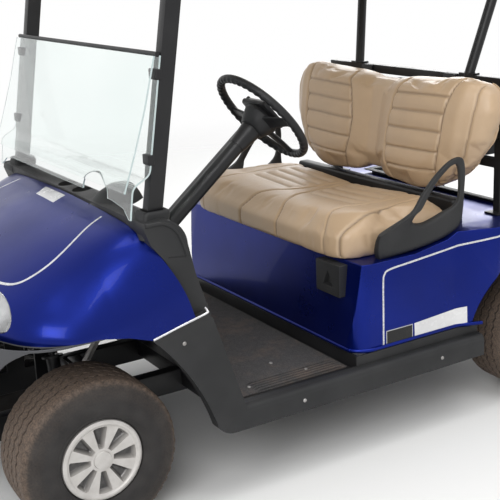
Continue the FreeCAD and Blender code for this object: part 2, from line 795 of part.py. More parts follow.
def steering_wheel():
    """Rim, three spokes and a dished hub with the card clip on its face."""
    axis = column_axis()
    centre = column_point(0)
    ring = STEER_WHEEL_DIAMETER / 2 - STEER_GRIP_DIAMETER / 2
    pieces = [Part.makeTorus(ring, STEER_GRIP_DIAMETER / 2, centre, axis)]
    hub = Part.makeCone(58, 40, 46, column_point(8), axis)
    pieces.append(hub)
    across = vec(0, 1, 0)
    up = axis.cross(across)
    for angle in (0, 180, 270):
        turn = math.radians(angle)
        out = across * math.cos(turn) + up * math.sin(turn)
        pieces.append(square_spoke(column_point(20), centre + out * ring, out, axis))
    return fuse(pieces)


def square_spoke(start, end, out, axis):
    """Flat spoke that tapers from the hub to the rim."""
    across = out.cross(axis)
    near = []
    far = []
    for a, b in ((-1, -1), (1, -1), (1, 1), (-1, 1)):
        near.append(start + across * (a * 24) + axis * (b * 6))
        far.append(end + across * (a * 16) + axis * (b * 5))
    first = Part.makePolygon(near + near[:1])
    last = Part.makePolygon(far + far[:1])
    return Part.makeLoft([first, last], True, True)


def card_clip():
    """Score-card plate and pencil clip above the hub."""
    axis = column_axis()
    across = vec(0, 1, 0)
    up = axis.cross(across)
    base = column_point(-6)
    corners = []
    for a, b in ((-62, -46), (62, -46), (54, 58), (-54, 58)):
        corners.append(base + across * a + up * b)
    plate = Part.Face(Part.makePolygon(corners + corners[:1])).extrude(axis * 14)
    clip = Part.makeCylinder(9, 90, base + across * -45 + up * 46 - axis * 8, across)
    return fuse([plate, clip])


def steering_column():
    """Column tube from under the wheel into the dash, with a collar at its head and a side cover."""
    axis = column_axis()
    across = vec(0, 1, 0)
    up = axis.cross(across)
    tube = Part.makeCylinder(COLUMN_DIAMETER / 2, COLUMN_LENGTH, column_point(COLUMN_START), axis)
    collar = Part.makeCone(COLLAR_DIAMETER / 2, COLUMN_DIAMETER / 2 + 3, COLLAR_LENGTH,
                           column_point(COLUMN_START), axis)
    corners = []
    for a, b in ((-44, -12), (-10, -12), (-10, 12), (-44, 12)):
        corners.append(column_point(COLUMN_START + 20) + across * a + up * b)
    cover_bar = Part.Face(Part.makePolygon(corners + corners[:1])).extrude(axis * 380)
    return fuse([tube, collar, cover_bar])


def intermediate_shaft(radius):
    """Shaft from the foot of the column down to the pinion."""
    pinion = vec(FRONT_X - STEER_ARM_BACK - 18, 96, RACK_Z + 16)
    return rod(pinion, column_point(COLUMN_START + COLUMN_LENGTH), radius)


def rack_parts():
    """Rack housing on the frame with the pinion shaft, and the sliding rack with its tie rods."""
    rack_x = FRONT_X - STEER_ARM_BACK
    end_y = KINGPIN_Y - STEER_ARM_IN
    middle = vec(rack_x, 0, RACK_Z)
    housing = [rod(vec(rack_x, -RACK_HALF, RACK_Z), vec(rack_x, RACK_HALF, RACK_Z), 20)]
    for y in (-RAIL_OUT + 20, RAIL_OUT - 20):
        housing.append(box(rack_x - 14, rack_x + 14, y - 20, y + 20, FLOOR_TOP - FLOOR_WALL, RACK_Z + 14))
    housing.append(intermediate_shaft(11).cut(steering_column()))
    housing = fuse(housing)
    radius = TIE_ROD_DIAMETER / 2
    housing = housing.cut(rod(middle - vec(0, 220, 0), middle + vec(0, 220, 0), radius + 0.3))
    foot_z = AXLE_Z + 6 + TIE_ROD_GAP
    rods = [rod(vec(rack_x, -TIE_ROD_KNEE, RACK_Z), vec(rack_x, TIE_ROD_KNEE, RACK_Z), radius)]
    for side in (-1, 1):
        knee = vec(rack_x, side * TIE_ROD_KNEE, RACK_Z)
        rods.append(Part.makeSphere(radius, knee))
        rods.append(rod(knee, vec(rack_x, side * end_y, foot_z + 10), radius))
        rods.append(Part.makeCylinder(12, 20, vec(rack_x, side * end_y, foot_z)))
    return housing, fuse(rods)


def dash(cowl_filled, cowl_shell, neighbours):
    """Dash moulding with open pockets, side cheeks and the hump over the column."""
    rear_face = [(487.0, 574.5), (527.0, 704.0), (545.0, 790.0)]
    brow = [(612, 868, 570, 846), (667, 862)]
    centre_rows = rear_face + brow + [(667, 836), (690, 812), (690, 640), (600, 574.5)]
    cheek_in = BODY_HALF - 115
    body = prism_y(centre_rows, -cheek_in, cheek_in)
    edge = [(x - 0.3, z) for x, z in COWL_REAR_EDGE[1:]]
    cheek_rows = rear_face + brow + edge + [(547.7, 574.5)]
    cheek = prism_y(cheek_rows, cheek_in, BODY_HALF - 25)
    whole = fuse([body, cheek, mirrored(cheek)])
    for y0, y1, z0, z1, deep in DASH_POCKETS:
        whole = whole.cut(box(400, deep, y0, y1, z0, z1))
    for y in CUP_PLACES:
        whole = whole.cut(Part.makeCylinder(CUP_DIAMETER / 2, 90, vec(CUP_X, y, CUP_BOTTOM)))
    whole = whole.cut(cowl_shell)
    whole = whole.fuse(hump_over_column().cut(cowl_filled))
    for other in neighbours:
        whole = whole.cut(other)
    whole = whole.cut(Part.makeCylinder(COLUMN_DIAMETER / 2 + 0.3, 900, column_point(300), column_axis()))
    whole = whole.cut(intermediate_shaft(16))
    return whole.removeSplitter()


def hump_over_column():
    """Low rounded hood over the column, whose front bulges onto the cowl."""
    dome = Part.makeSphere(HUMP_RADIUS, vec(HUMP_X, HUMP_Y, HUMP_Z))
    reach = HUMP_RADIUS - 12
    return dome.common(box(HUMP_X - 22, HUMP_X + 200, HUMP_Y - reach, HUMP_Y + reach, 700, 950))


def strut_line(z):
    """Centre of the front strut at a height."""
    slope = math.tan(math.radians(STRUT_LEAN))
    return vec(STRUT_FOOT_X - (z - STRUT_FOOT_Z) * slope, STRUT_Y, z)


def front_strut():
    low = strut_line(STRUT_BASE_Z - 40)
    high = strut_line(CANOPY_UNDER + 40)
    bar = square_bar(low, high, STRUT_DEPTH, STRUT_WIDTH)
    return bar.common(box(0, 1000, 0, 1000, STRUT_BASE_Z, CANOPY_UNDER))


def windshield():
    """Two acrylic halves: the lower one stands on the cowl, the upper one is folded down in front."""
    y = STRUT_Y + 5
    ahead = STRUT_DEPTH / 2 / math.cos(math.radians(STRUT_LEAN)) + 0.3
    low = [
        (strut_line(HINGE_Z).x + ahead, HINGE_Z),
        (strut_line(980.0).x + ahead, 980.0),
        (672.0, 952.0),
        (684.0, 868.0),
    ]
    lower = prism_y(strip(low, ACRYLIC_WALL), -y, y)
    room = box(600, 800, -PANE_LEG_Y, PANE_LEG_Y, 800, PANE_EDGE_Z)
    notch = Part.makeCylinder(PANE_NOTCH_R, 200, vec(600, PANE_NOTCH_Y, PANE_EDGE_Z - 35), vec(1, 0, 0))
    lower = lower.cut(room).cut(notch)
    hinge_x = low[0][0] + ACRYLIC_WALL + 0.3
    fold_x = hinge_x + 12
    fold = [(fold_x, HINGE_Z), (fold_x + 38, 1150.0), (fold_x + 74, 1043.0), (fold_x + 112, 941.0)]
    upper = prism_y(strip(fold, ACRYLIC_WALL), -y, y)
    hinge = prism_y([(hinge_x, HINGE_Z - 4), (fold_x + 4, HINGE_Z - 8), (fold_x + 8, HINGE_Z + 8),
                     (hinge_x - 1.4, HINGE_Z + 8)], -y, y)
    return lower, fuse([upper, hinge]).cut(lower)


def plan_box(x0, x1, half, r):
    """Plan rows of a rectangle with rounded corners."""
    k = r * (1 - math.sqrt(0.5))
    return [
        (x0 + r, -half, x0 + k, -half + k),
        (x1 - r, -half),
        (x1, -half + r, x1 - k, -half + k),
        (x1, half - r),
        (x1 - r, half, x1 - k, half - k),
        (x0 + r, half),
        (x0, half - r, x0 + k, half - k),
        (x0, -half + r),
    ]


def canopy():
    """Crowned roof shell with a skirt, and the two cross channels that the struts bolt to."""
    middle = (CANOPY_FRONT_X + CANOPY_REAR_X) / 2
    under = HEIGHT - CANOPY_SKIRT
    shells = []
    for offset in (0.0, CANOPY_WALL):
        rows = plan_box(CANOPY_REAR_X + offset, CANOPY_FRONT_X - offset, CANOPY_HALF - offset,
                        CANOPY_CORNER_R - offset)
        wall = prism_z(rows, under - offset, HEIGHT + 1)
        ball = Part.makeSphere(CANOPY_CROWN_R - offset, vec(middle, 0, HEIGHT - CANOPY_CROWN_R))
        shells.append(wall.common(ball))
    roof = shells[0].cut(shells[1])
    bars = []
    for x in (strut_line(CANOPY_UNDER).x, rear_strut_line(CANOPY_UNDER).x):
        bar = box(x - 32, x + 32, -CANOPY_HALF + 1, CANOPY_HALF - 1, CANOPY_UNDER, HEIGHT)
        bars.append(bar.common(shells[0]))
    return fuse([roof] + bars)


def rear_strut_line(z):
    """Centre of the left rear strut at a height."""
    share = (z - HOOP_TOP) / (CANOPY_UNDER - HOOP_TOP)
    x = HOOP_X - REAR_STRUT_RAKE * share
    return vec(x, REAR_STRUT_FOOT_Y + REAR_STRUT_SPREAD * share, z)


def rear_strut():
    """Left rear strut, with a foot plate on the hoop."""
    low = rear_strut_line(HOOP_TOP - 40)
    high = rear_strut_line(CANOPY_UNDER + 40)
    bar = rod(low, high, REAR_STRUT_DIAMETER / 2)
    bar = bar.common(box(-1200, 0, 0, 600, HOOP_TOP, CANOPY_UNDER))
    y = REAR_STRUT_FOOT_Y
    foot = box(HOOP_X - HOOP_TUBE / 2, HOOP_X + HOOP_TUBE / 2, y - 35, y + 35, HOOP_TOP, HOOP_TOP + 6)
    return fuse([bar, foot])


def rear_hoop():
    """Square-tube hoop behind the seat, with the brackets that carry the seat back."""
    x0 = HOOP_X - HOOP_TUBE / 2
    x1 = HOOP_X + HOOP_TUBE / 2
    pieces = [box(x0, x1, -HOOP_HALF, HOOP_HALF, HOOP_TOP - HOOP_TUBE, HOOP_TOP)]
    pieces.append(box(x0, x1, -HOOP_HALF, HOOP_HALF, 800, 800 + HOOP_TUBE))
    for side in (-1, 1):
        y0 = min(side * HOOP_HALF, side * (HOOP_HALF - HOOP_TUBE))
        pieces.append(box(x0, x1, y0, y0 + HOOP_TUBE, DECK_TOP, HOOP_TOP))
        foot = side * (HOOP_HALF - HOOP_TUBE / 2)
        pieces.append(box(HOOP_X - 40, HOOP_X + 40, foot - 30, foot + 30, DECK_TOP, DECK_TOP + 6))
    for z in (815, 1085):
        for y in (-260, 200):
            pieces.append(box(x0 + 5, -600, y, y + 60, z - 14, z + 14))
    hoop = fuse(pieces).cut(seat_back())
    for y in (-HOOP_HALF + HOOP_TUBE / 2, HOOP_HALF - HOOP_TUBE / 2):
        for z in (ACCESSORY_Z - ACCESSORY_PITCH / 2, ACCESSORY_Z + ACCESSORY_PITCH / 2):
            hoop = hoop.cut(Part.makeCylinder(ACCESSORY_HOLE / 2, 60, vec(x0 - 10, y, z), vec(1, 0, 0)))
    return hoop


def seat_back_rear_x(z):
    """Rear face of the seat back at a height."""
    slope = math.tan(math.radians(SEAT_BACK_LEAN))
    return -500.0 - SEAT_BACK_DEPTH / math.cos(math.radians(SEAT_BACK_LEAN)) - (z - SEAT_BACK_BOTTOM) * slope


def seat_back():
    """Two-lobed seat back, leaning rearward."""
    half = SEAT_BACK_HALF
    low = SEAT_BACK_BOTTOM
    top = SEAT_BACK_TOP
    rows = [
        (-half + 50, low + 4, -half + 12, low + 24),
        (-30, low + 4, -half / 2, low - 8),
        (30, low + 4, 0, low + 16),
        (half - 50, low + 4, half / 2, low - 8),
        (half, low + 70, half - 12, low + 24),
        (half - 50, top - 26),
        (half - 110, top, half - 66, top - 8),
        (60, top - 4, half / 2 - 20, top + 6),
        (-60, top - 4, 0, top - 26),
        (-half + 110, top, -half / 2 + 20, top + 6),
        (-half + 50, top - 26, -half + 66, top - 8),
        (-half, low + 70),
    ]
    front = -500.0
    pad = prism_x(rows, front - SEAT_BACK_DEPTH - 110, front + 10)
    slope = math.tan(math.radians(SEAT_BACK_LEAN))
    lean = [
        (front, low - 20),
        (front - (top + 20 - low) * slope, top + 20),
        (seat_back_rear_x(top + 20), top + 20),
        (seat_back_rear_x(low - 20), low - 20),
    ]
    return pad.common(prism_y(lean, -half - 5, half + 5))


def seat_cushion():
    """Full-width cushion with rounded front edge."""
    x0 = CUSHION_REAR_X
    x1 = CUSHION_FRONT_X
    low = CUSHION_BOTTOM
    top = CUSHION_TOP
    rows = [
        (x0, low),
        (x1 - 14, low),
        (x1, low + 40, x1, low + 14),
        (x1 - 60, top - 4, x1 - 16, top - 20),
        (x0 + 20, top - 14, (x0 + x1) / 2, top - 2),
        (x0, top - 34, x0 + 6, top - 20),
    ]
    pad = prism_y(rows, -CUSHION_HALF, CUSHION_HALF)
    plan = plan_box(x0 - 60, x1, CUSHION_HALF, 55.0)
    return pad.common(prism_z(plan, low - 5, top + 20))


# Side view of the body's top line from the front of the seat base to the tail: x, z
BODY_TOP_LINE = [(-50.0, BASE_TOP), (-257.0, BASE_TOP), (-389.0, 626.0), (-430.0, DECK_TOP),
                 (-1105.0, DECK_TOP)]


def body_block(offset):
    """Rear body as a filled form, each wall moved in by the offset."""
    base = BASE_HALF - offset
    flare = WIDTH / 2 - offset
    k = offset
    plan = [
        (BASE_FRONT_X - k, -base + 60, BASE_FRONT_X - 18 - k, -base + 18),
        (BASE_FRONT_X - k, base - 60),
        (BASE_FRONT_X - 60, base, BASE_FRONT_X - 18 - k, base - 18),
        (-430, base),
        (-560, flare),
        (-1032, flare),
        (-1182 + k, flare - 150, -1138 + k, flare - 44),
        (-1182 + k, -flare + 150, -1192 + k, 0),
        (-1032, -flare, -1138 + k, -flare + 44),
        (-560, -flare),
        (-430, -base),
        (BASE_FRONT_X - 60, -base),
    ]
    wall = prism_z(plan, 280.0, 700.0)
    top = [(x, z - k) for x, z in BODY_TOP_LINE]
    # The inner form runs on below the outer one, which leaves the shell open underneath
    low = 250.0 if offset else BASE_BOTTOM
    tail_low = 250.0 if offset else REAR_RAIL_TOP + 0.3
    side = [
        (BASE_FRONT_X + 2 - k, low),
        (BASE_FRONT_X - 30 - k, top[0][1]),
    ] + top[1:] + [
        (-1168 + k, 610 - k, -1150 + k, DECK_TOP - 6 - k),
        (-1192 + k, REAR_RAIL_TOP + 60),
        (-1192 + k, tail_low),
        (-1140 + k, tail_low),
        (SILL_REAR, low),
    ]
    seat_half = CUSHION_HALF + CUSHION_GAP + k
    recess = box(CUSHION_REAR_X - CUSHION_GAP - k, 20, -seat_half, seat_half, BASE_TOP - k, 720)
    return wall.common(prism_y(side, -WIDTH, WIDTH)).cut(recess)


def rear_body():
    """Blue shell from the seat base to the tail, open below, over the batteries and at the bag well."""
    shell = body_block(0.0).cut(body_block(SHELL_WALL))
    for side in (-1, 1):
        start = vec(REAR_X, side * 340.0, AXLE_Z)
        shell = shell.cut(Part.makeCylinder(REAR_ARCH_R, 400, start, vec(0, side, 0)))
    half = CUSHION_HALF - 48
    shell = shell.cut(box(-420, -100, -half, half, 560, 700))
    shell = shell.cut(box(BAG_REAR_X - 100, BAG_FRONT_X, -BAG_HALF, BAG_HALF, BAG_FLOOR + 50, 700))
    return shell


def bag_well():
    """Moulded tub that the golf bags stand in, with a lipped front and sides."""
    gap = 0.3
    x0 = BAG_REAR_X + gap
    x1 = BAG_FRONT_X - gap
    half = BAG_HALF - gap
    wall = SHELL_WALL
    tub = box(x0, x1, -half, half, BAG_FLOOR, DECK_TOP + 10)
    tub = tub.cut(box(x0 - 10, x1 - wall, -half + wall, half - wall, BAG_FLOOR + wall, DECK_TOP + 20))
    for i in range(5):
        x = x1 - 60 - i * 62
        tub = tub.fuse(box(x - 6, x + 6, -half + 1, half - 1, BAG_FLOOR + wall - 1, BAG_FLOOR + wall + 5))
    lip = box(x1 - wall, x1 + 22, -half, half, DECK_TOP + 10, DECK_TOP + 10 + wall)
    for side in (-1, 1):
        y0 = min(side * (half - wall), side * (half + 26))
        y1 = max(side * (half - wall), side * (half + 26))
        lip = lip.fuse(box(x0, x1 + 22, y0, y1, DECK_TOP + 10, DECK_TOP + 10 + wall))
    return tub.fuse(lip).removeSplitter()


def basket():
    """Open slatted basket behind the seat, hung on the hoop."""
    x1 = HOOP_X - HOOP_TUBE / 2
    x0 = x1 - BASKET_DEPTH
    half = BASKET_HALF
    z0 = BASKET_BOTTOM
    z1 = BASKET_TOP
    wall = 8.0
    room = box(x0 + wall, x1 - wall, -half + wall, half - wall, z0 + wall, z1 + 5)
    tub = box(x0, x1, -half, half, z0, z1).cut(room)
    bars = 9
    pitch = (2 * half - 60) / bars
    for i in range(bars):
        y = -half + 40 + i * pitch
        tub = tub.cut(box(x0 - 5, x1 + 5, y, y + pitch - 20, z0 + 40, z1 - 40))
        tub = tub.cut(box(x0 + 40, x1 - 40, y, y + pitch - 20, z0 - 5, z0 + wall + 5))
    return tub


def hip_restraint():
    """Left side rail of the seat: a closed moulded loop that rises to a rear apex."""
    outer = [
        (-131, 604),
        (-150, 650, -128, 632),
        (-300, 745),
        (-430, 872),
        (-462, 878, -446, 886),
        (-470, 860, -471, 870),
        (-474, 730),
        (-440, DECK_TOP + 0.3, -470, 670),
        (-425, 645.3),
        (-389, 626.5),
        (-257, 604.5),
    ]
    inner = [
        (-250, 668),
        (-440, 708, -350, 676),
        (-446, 840),
        (-425, 838, -438, 846),
        (-290, 710),
    ]
    loop = prism_y(outer, HIP_OUTER - HIP_WIDTH, HIP_OUTER)
    return loop.cut(prism_y(inner, HIP_OUTER - 60, HIP_OUTER + 20)).cut(body_block(0.0))


def pedals():
    """Brake and accelerator pads on arms from the toe board."""
    rows = strip(FLOOR_LINE, FLOOR_WALL)
    behind = prism_y(rows[4:] + [(BASE_FRONT_X, 0), (700, 0), (700, 590)], -600, 600)
    pieces = []
    # Pads: y0, y1, bottom height, pad height
    for y0, y1, z0, tall in ((300, 372, 380, 96), (150, 206, 330, 150)):
        x = 402.0 + (z0 - FLOOR_TOP) * 0.30 - 46.0
        pad = box(x - 5, x + 5, y0, y1, z0, z0 + tall)
        pad.rotate(vec(x, 0, z0), vec(0, 1, 0), 18.0)
        middle = (y0 + y1) / 2
        arm = box(x, 520, middle - 7, middle + 7, z0 + tall / 2 - 8, z0 + tall / 2 + 8)
        pieces.append(fuse([pad, arm]).cut(behind))
    return Part.makeCompound(pieces)


def charge_receptacle():
    """Square charger plate on the seat base, with a recessed three-sided socket."""
    face = BASE_FRONT_X - 3
    plate = box(face - 30, face + 8, 350, 474, 490, 592)
    plate = plate.cut(prism_x([(386, 516), (438, 516), (412, 566)], face - 10, face + 20))
    return plate.cut(body_block(0.0))


def tail_lamp():
    """Left tail lamp, set against the tail."""
    lamp = box(-1215, -1150, 415, 470, 480, 590)
    lamp = lamp.cut(body_block(0.0))
    return lamp.common(box(-LENGTH / 2 + 2, -1100, 400, 500, 400, 650))


def rear_bumper():
    """Tail bumper on the ends of the rear rails."""
    rows = plan_box(-LENGTH / 2, RAIL_END_X, 500.0, 20.0)
    return prism_z(rows, 352, REAR_RAIL_TOP)


def battery_pack():
    """Traction batteries as one plain block on the rails."""
    return box(-432, -110, -300, 300, FLOOR_TOP - FLOOR_WALL, 540)


def build():
    wheels()
    left = knuckle()
    save("knuckle_left", left)
    save("knuckle_right", mirrored(left))
    arms = front_suspension()
    damper = coil_over()
    lower = fuse([arms[0], damper.cut(arms[1]).cut(chassis_rail())])
    both = [lower, arms[1]]
    save("front_suspension", Part.makeCompound(both + [mirrored(piece) for piece in both]))
    save("chassis_rails", pair(chassis_rail()))
    save("cross_members", cross_members())
    save("rear_axle", rear_axle())
    save("rear_springs", pair(rear_spring()))
    save("battery_pack", battery_pack())
    save("floor_pan", floor_pan())
    save("sills", pair(sill()))
    block = cowl_block(0.0)
    shell = block.cut(cowl_block(SHELL_WALL)).common(cowl_keep())
    lamp = headlamp(block)
    for cutter in (lamp_region(0.5), mirrored(lamp_region(0.5))):
        shell = shell.cut(cutter)
    struts = [front_strut(), mirrored(front_strut())]
    for strut in struts:
        shell = shell.cut(strut)
    save("cowl", shell)
    save("headlights", pair(lamp))
    save("front_fascia", fascia())
    save("dash", dash(block, shell, struts + [floor_pan(), sill(), mirrored(sill())]))
    rear = rear_strut()
    save("roof_struts", Part.makeCompound(struts + [rear, mirrored(rear)]))
    lower_pane, upper_pane = windshield()
    save("windshield_lower", lower_pane)
    save("windshield_upper", upper_pane)
    save("canopy", canopy())
    save("rear_hoop", rear_hoop())
    save("seat_back", seat_back())
    save("seat_cushion", seat_cushion())
    save("rear_body", rear_body())
    save("bag_well", bag_well())
    save("basket", basket())
    save("hip_restraints", pair(hip_restraint()))
    save("pedals", pedals())
    save("charge_receptacle", charge_receptacle())
    save("tail_lights", pair(tail_lamp()))
    save("rear_bumper", rear_bumper())
    save("steering_wheel", fuse([steering_wheel(), card_clip()]))
    save("steering_column", steering_column())
    housing, rack = rack_parts()
    save("steering_rack", housing)
    save("tie_rods", rack)


build()
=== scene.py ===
"""Two-seat electric golf cart: the looks of each piece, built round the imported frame.

Metres, in the frame's axes: X forward, Y to the driver's side, Z up, ground at 0.
"""
import math

import bmesh
import bpy
import numpy as np
from bpy.props import FloatProperty, FloatVectorProperty, IntProperty, PointerProperty
from mathutils import Matrix, Vector
from mathutils.bvhtree import BVHTree


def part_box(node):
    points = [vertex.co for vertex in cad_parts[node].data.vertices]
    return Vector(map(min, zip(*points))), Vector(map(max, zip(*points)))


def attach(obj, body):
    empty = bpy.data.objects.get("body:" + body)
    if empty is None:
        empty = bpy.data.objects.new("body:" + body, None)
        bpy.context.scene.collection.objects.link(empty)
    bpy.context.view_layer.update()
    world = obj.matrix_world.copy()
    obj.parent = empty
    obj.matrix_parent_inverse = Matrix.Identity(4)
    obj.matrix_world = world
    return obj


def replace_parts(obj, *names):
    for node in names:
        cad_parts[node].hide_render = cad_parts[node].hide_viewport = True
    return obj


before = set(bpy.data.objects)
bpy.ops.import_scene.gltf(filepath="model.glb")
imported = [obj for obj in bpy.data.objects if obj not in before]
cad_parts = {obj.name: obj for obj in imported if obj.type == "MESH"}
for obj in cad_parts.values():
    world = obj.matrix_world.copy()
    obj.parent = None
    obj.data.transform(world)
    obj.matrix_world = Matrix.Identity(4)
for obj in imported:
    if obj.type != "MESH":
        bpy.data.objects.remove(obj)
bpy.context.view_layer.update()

bl_info = {
    "name": "Golf Cart",
    "version": (1, 0, 0),
    "blender": (4, 5, 0),
    "location": "View3D > Sidebar > Golf Cart",
    "description": "Builds a two-seat electric golf cart piece by piece round its frame",
    "category": "Add Mesh",
}

SIDES = ((1, "left"), (-1, "right"))
CORNERS = (("fl", 1), ("fr", -1), ("rl", 1), ("rr", -1))
BEVEL_ANGLE = math.radians(35)
SHARP_ANGLE = math.radians(32)
DOWN = (0.0, 0.0, -1.0)


def middle_of(node):
    """Centre of a CAD node's box."""
    low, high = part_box(node)
    return (low + high) / 2


def turns(count):
    """Angles that divide a full turn evenly."""
    return [2 * math.pi * k / count for k in range(count)]


# Helpers for meshes

def add_mesh(name, points, faces, finish, body="root"):
    """New object from points and faces, on one CAD body."""
    mesh = bpy.data.meshes.new(name)
    mesh.from_pydata([tuple(p) for p in points], [], faces)
    mesh.validate()
    mesh.update()
    obj = bpy.data.objects.new(name, mesh)
    bpy.context.scene.collection.objects.link(obj)
    mesh.materials.append(finish)
    mesh.shade_smooth()
    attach(obj, body)
    return obj


def grid_faces(rows, columns, wrap_rows=False, wrap_columns=False, start=0):
    """Quads of a grid of points stored row by row."""
    faces = []
    for i in range(rows if wrap_rows else rows - 1):
        for j in range(columns if wrap_columns else columns - 1):
            a = start + i * columns + j
            b = start + i * columns + (j + 1) % columns
            c = start + (i + 1) % rows * columns + (j + 1) % columns
            d = start + (i + 1) % rows * columns + j
            faces.append((a, b, c, d))
    return faces


def add_grid(name, grid, finish, body="root", wrap_rows=False, wrap_columns=False):
    """New object from an array of points of shape (rows, columns, 3)."""
    rows, columns = grid.shape[:2]
    faces = grid_faces(rows, columns, wrap_rows, wrap_columns)
    return add_mesh(name, grid.reshape(-1, 3), faces, finish, body)


def add_capped(name, rings, finish, body):
    """Closed skin through rings of points, with both ends capped."""
    rings = np.asarray(rings, float)
    count, sides = rings.shape[:2]
    faces = grid_faces(count, sides, wrap_columns=True)
    faces.append(tuple(range(sides))[::-1])
    faces.append(tuple(range((count - 1) * sides, count * sides)))
    return turn_out(add_mesh(name, rings.reshape(-1, 3), faces, finish, body))


def run_at(path, i):
    """Direction of a path at one of its points, from its neighbours."""
    return path[min(i + 1, len(path) - 1)] - path[max(i - 1, 0)]


def add_tube(name, path, radius, finish, sides, body="root", flat=1.0, up=(0.0, 0.0, 1.0)):
    """Bar along a path with its ends capped; flat squeezes it along the up direction."""
    path = np.asarray(path, float)
    up = np.asarray(up, float)
    rings = []
    for i, point in enumerate(path):
        run = run_at(path, i)
        run /= np.linalg.norm(run)
        across = np.cross(run, up)
        across /= np.linalg.norm(across)
        over = np.cross(across, run)
        rings.append([point + across * radius * math.cos(a) + over * radius * flat * math.sin(a)
                      for a in turns(sides)])
    return add_capped(name, rings, finish, body)


def smooth_path(points, steps, closed=False):
    """Points on a Catmull-Rom curve through the given ones."""
    pts = [np.asarray(p, float) for p in points]
    count = len(pts)
    out = []
    for i in range(count if closed else count - 1):
        if closed:
            before, start, end, after = pts[i - 1], pts[i], pts[(i + 1) % count], pts[(i + 2) % count]
        else:
            start, end = pts[i], pts[i + 1]
            before = pts[i - 1] if i else 2 * start - end
            after = pts[i + 2] if i + 2 < count else 2 * end - start
        for k in range(steps):
            t = k / steps
            out.append(0.5 * (2 * start + (end - before) * t
                              + (2 * before - 5 * start + 4 * end - after) * t * t
                              + (3 * start - before - 3 * end + after) * t ** 3))
    if not closed:
        out.append(pts[-1])
    return np.array(out)


def soft_step(low, high, value):
    """0 below low, 1 above high, smooth between."""
    t = np.clip((value - low) / (high - low), 0.0, 1.0)
    return t * t * (3 - 2 * t)


def edge_group():
    """Geometry node group that shades smooth except across edges over the angle."""
    group = bpy.data.node_groups.get("shade_by_angle")
    if group:
        return group
    group = bpy.data.node_groups.new("shade_by_angle", "GeometryNodeTree")
    group.interface.new_socket("Geometry", in_out="INPUT", socket_type="NodeSocketGeometry")
    group.interface.new_socket("Geometry", in_out="OUTPUT", socket_type="NodeSocketGeometry")
    start = group.nodes.new("NodeGroupInput")
    end = group.nodes.new("NodeGroupOutput")
    faces = group.nodes.new("GeometryNodeSetShadeSmooth")
    edges = group.nodes.new("GeometryNodeSetShadeSmooth")
    edges.domain = "EDGE"
    edges.inputs["Shade Smooth"].default_value = False
    angle = group.nodes.new("GeometryNodeInputMeshEdgeAngle")
    sharp = group.nodes.new("FunctionNodeCompare")
    sharp.operation = "GREATER_THAN"
    sharp.inputs[1].default_value = SHARP_ANGLE
    links = group.links
    links.new(start.outputs[0], faces.inputs["Geometry"])
    links.new(faces.outputs[0], edges.inputs["Geometry"])
    links.new(angle.outputs["Unsigned Angle"], sharp.inputs[0])
    links.new(sharp.outputs[0], edges.inputs["Selection"])
    links.new(edges.outputs[0], end.inputs[0])
    return group


def shade(obj):
    """Smooth shading that keeps the real corners sharp."""
    smooth = obj.modifiers.new("Shade", "NODES")
    smooth.node_group = edge_group()
    return obj


def round_edges(obj, radius, steps=3):
    """Rounded corners, then smooth shading."""
    bevel = obj.modifiers.new("Round", "BEVEL")
    bevel.width = radius
    bevel.segments = steps
    bevel.limit_method = "ANGLE"
    bevel.angle_limit = BEVEL_ANGLE
    bevel.use_clamp_overlap = True
    return shade(obj)


def turn_out(obj, way=None):
    """Turns a closed mesh's faces outward, or an open sheet's faces to look along a direction."""
    bm = bmesh.new()
    bm.from_mesh(obj.data)
    if way is None:
        bmesh.ops.recalc_face_normals(bm, faces=bm.faces)
    elif sum(face.normal.dot(way) * face.calc_area() for face in bm.faces) < 0:
        bmesh.ops.reverse_faces(bm, faces=bm.faces)
    bm.to_mesh(obj.data)
    bm.free()
    return obj


def thicken(obj, wall):
    """Gives an open skin its wall, inward from its normals."""
    solid = obj.modifiers.new("Wall", "SOLIDIFY")
    solid.thickness = wall
    solid.offset = -1.0
    solid.use_even_offset = True
    return obj


def weld(obj, gap):
    """Joins the vertices that lie closer than the gap."""
    obj.modifiers.new("Weld", "WELD").merge_threshold = gap


def settle(obj):
    """Applies the modifiers to the mesh."""
    graph = bpy.context.evaluated_depsgraph_get()
    mesh = bpy.data.meshes.new_from_object(obj.evaluated_get(graph), depsgraph=graph)
    obj.modifiers.clear()
    obj.data = mesh


def carve(obj, cutters):
    """Cuts closed meshes out of the piece, and removes the cutters."""
    for cutter in cutters:
        cut = obj.modifiers.new("Cut", "BOOLEAN")
        cut.operation = "DIFFERENCE"
        cut.solver = "EXACT"
        cut.object = cutter
    settle(obj)
    for cutter in cutters:
        bpy.data.objects.remove(cutter)


def add_box(name, low, high, finish):
    """Block between two corners."""
    corners = [(x, y, z) for x in (low[0], high[0]) for y in (low[1], high[1]) for z in (low[2], high[2])]
    faces = [(0, 1, 3, 2), (4, 6, 7, 5), (0, 4, 5, 1), (2, 3, 7, 6), (0, 2, 6, 4), (1, 5, 7, 3)]
    return turn_out(add_mesh(name, corners, faces, finish))


def add_prism(name, outline, along, finish, body="root"):
    """Closed outline of points swept by a vector."""
    count = len(outline)
    points = [Vector(p) for p in outline] + [Vector(p) + Vector(along) for p in outline]
    faces = [tuple(range(count))[::-1], tuple(range(count, 2 * count))]
    for i in range(count):
        k = (i + 1) % count
        faces.append((i, k, count + k, count + i))
    return turn_out(add_mesh(name, points, faces, finish, body))


def set_level(obj, name, values):
    """Stores one number a vertex for the finish to read."""
    layer = obj.data.attributes.new(name, "FLOAT", "POINT")
    layer.data.foreach_set("value", np.asarray(values, np.float32))


def vertex_array(mesh, field="co"):
    """Places, or another field, of a mesh's vertices as rows of three."""
    values = np.zeros(len(mesh.vertices) * 3)
    mesh.vertices.foreach_get(field, values)
    return values.reshape(-1, 3)


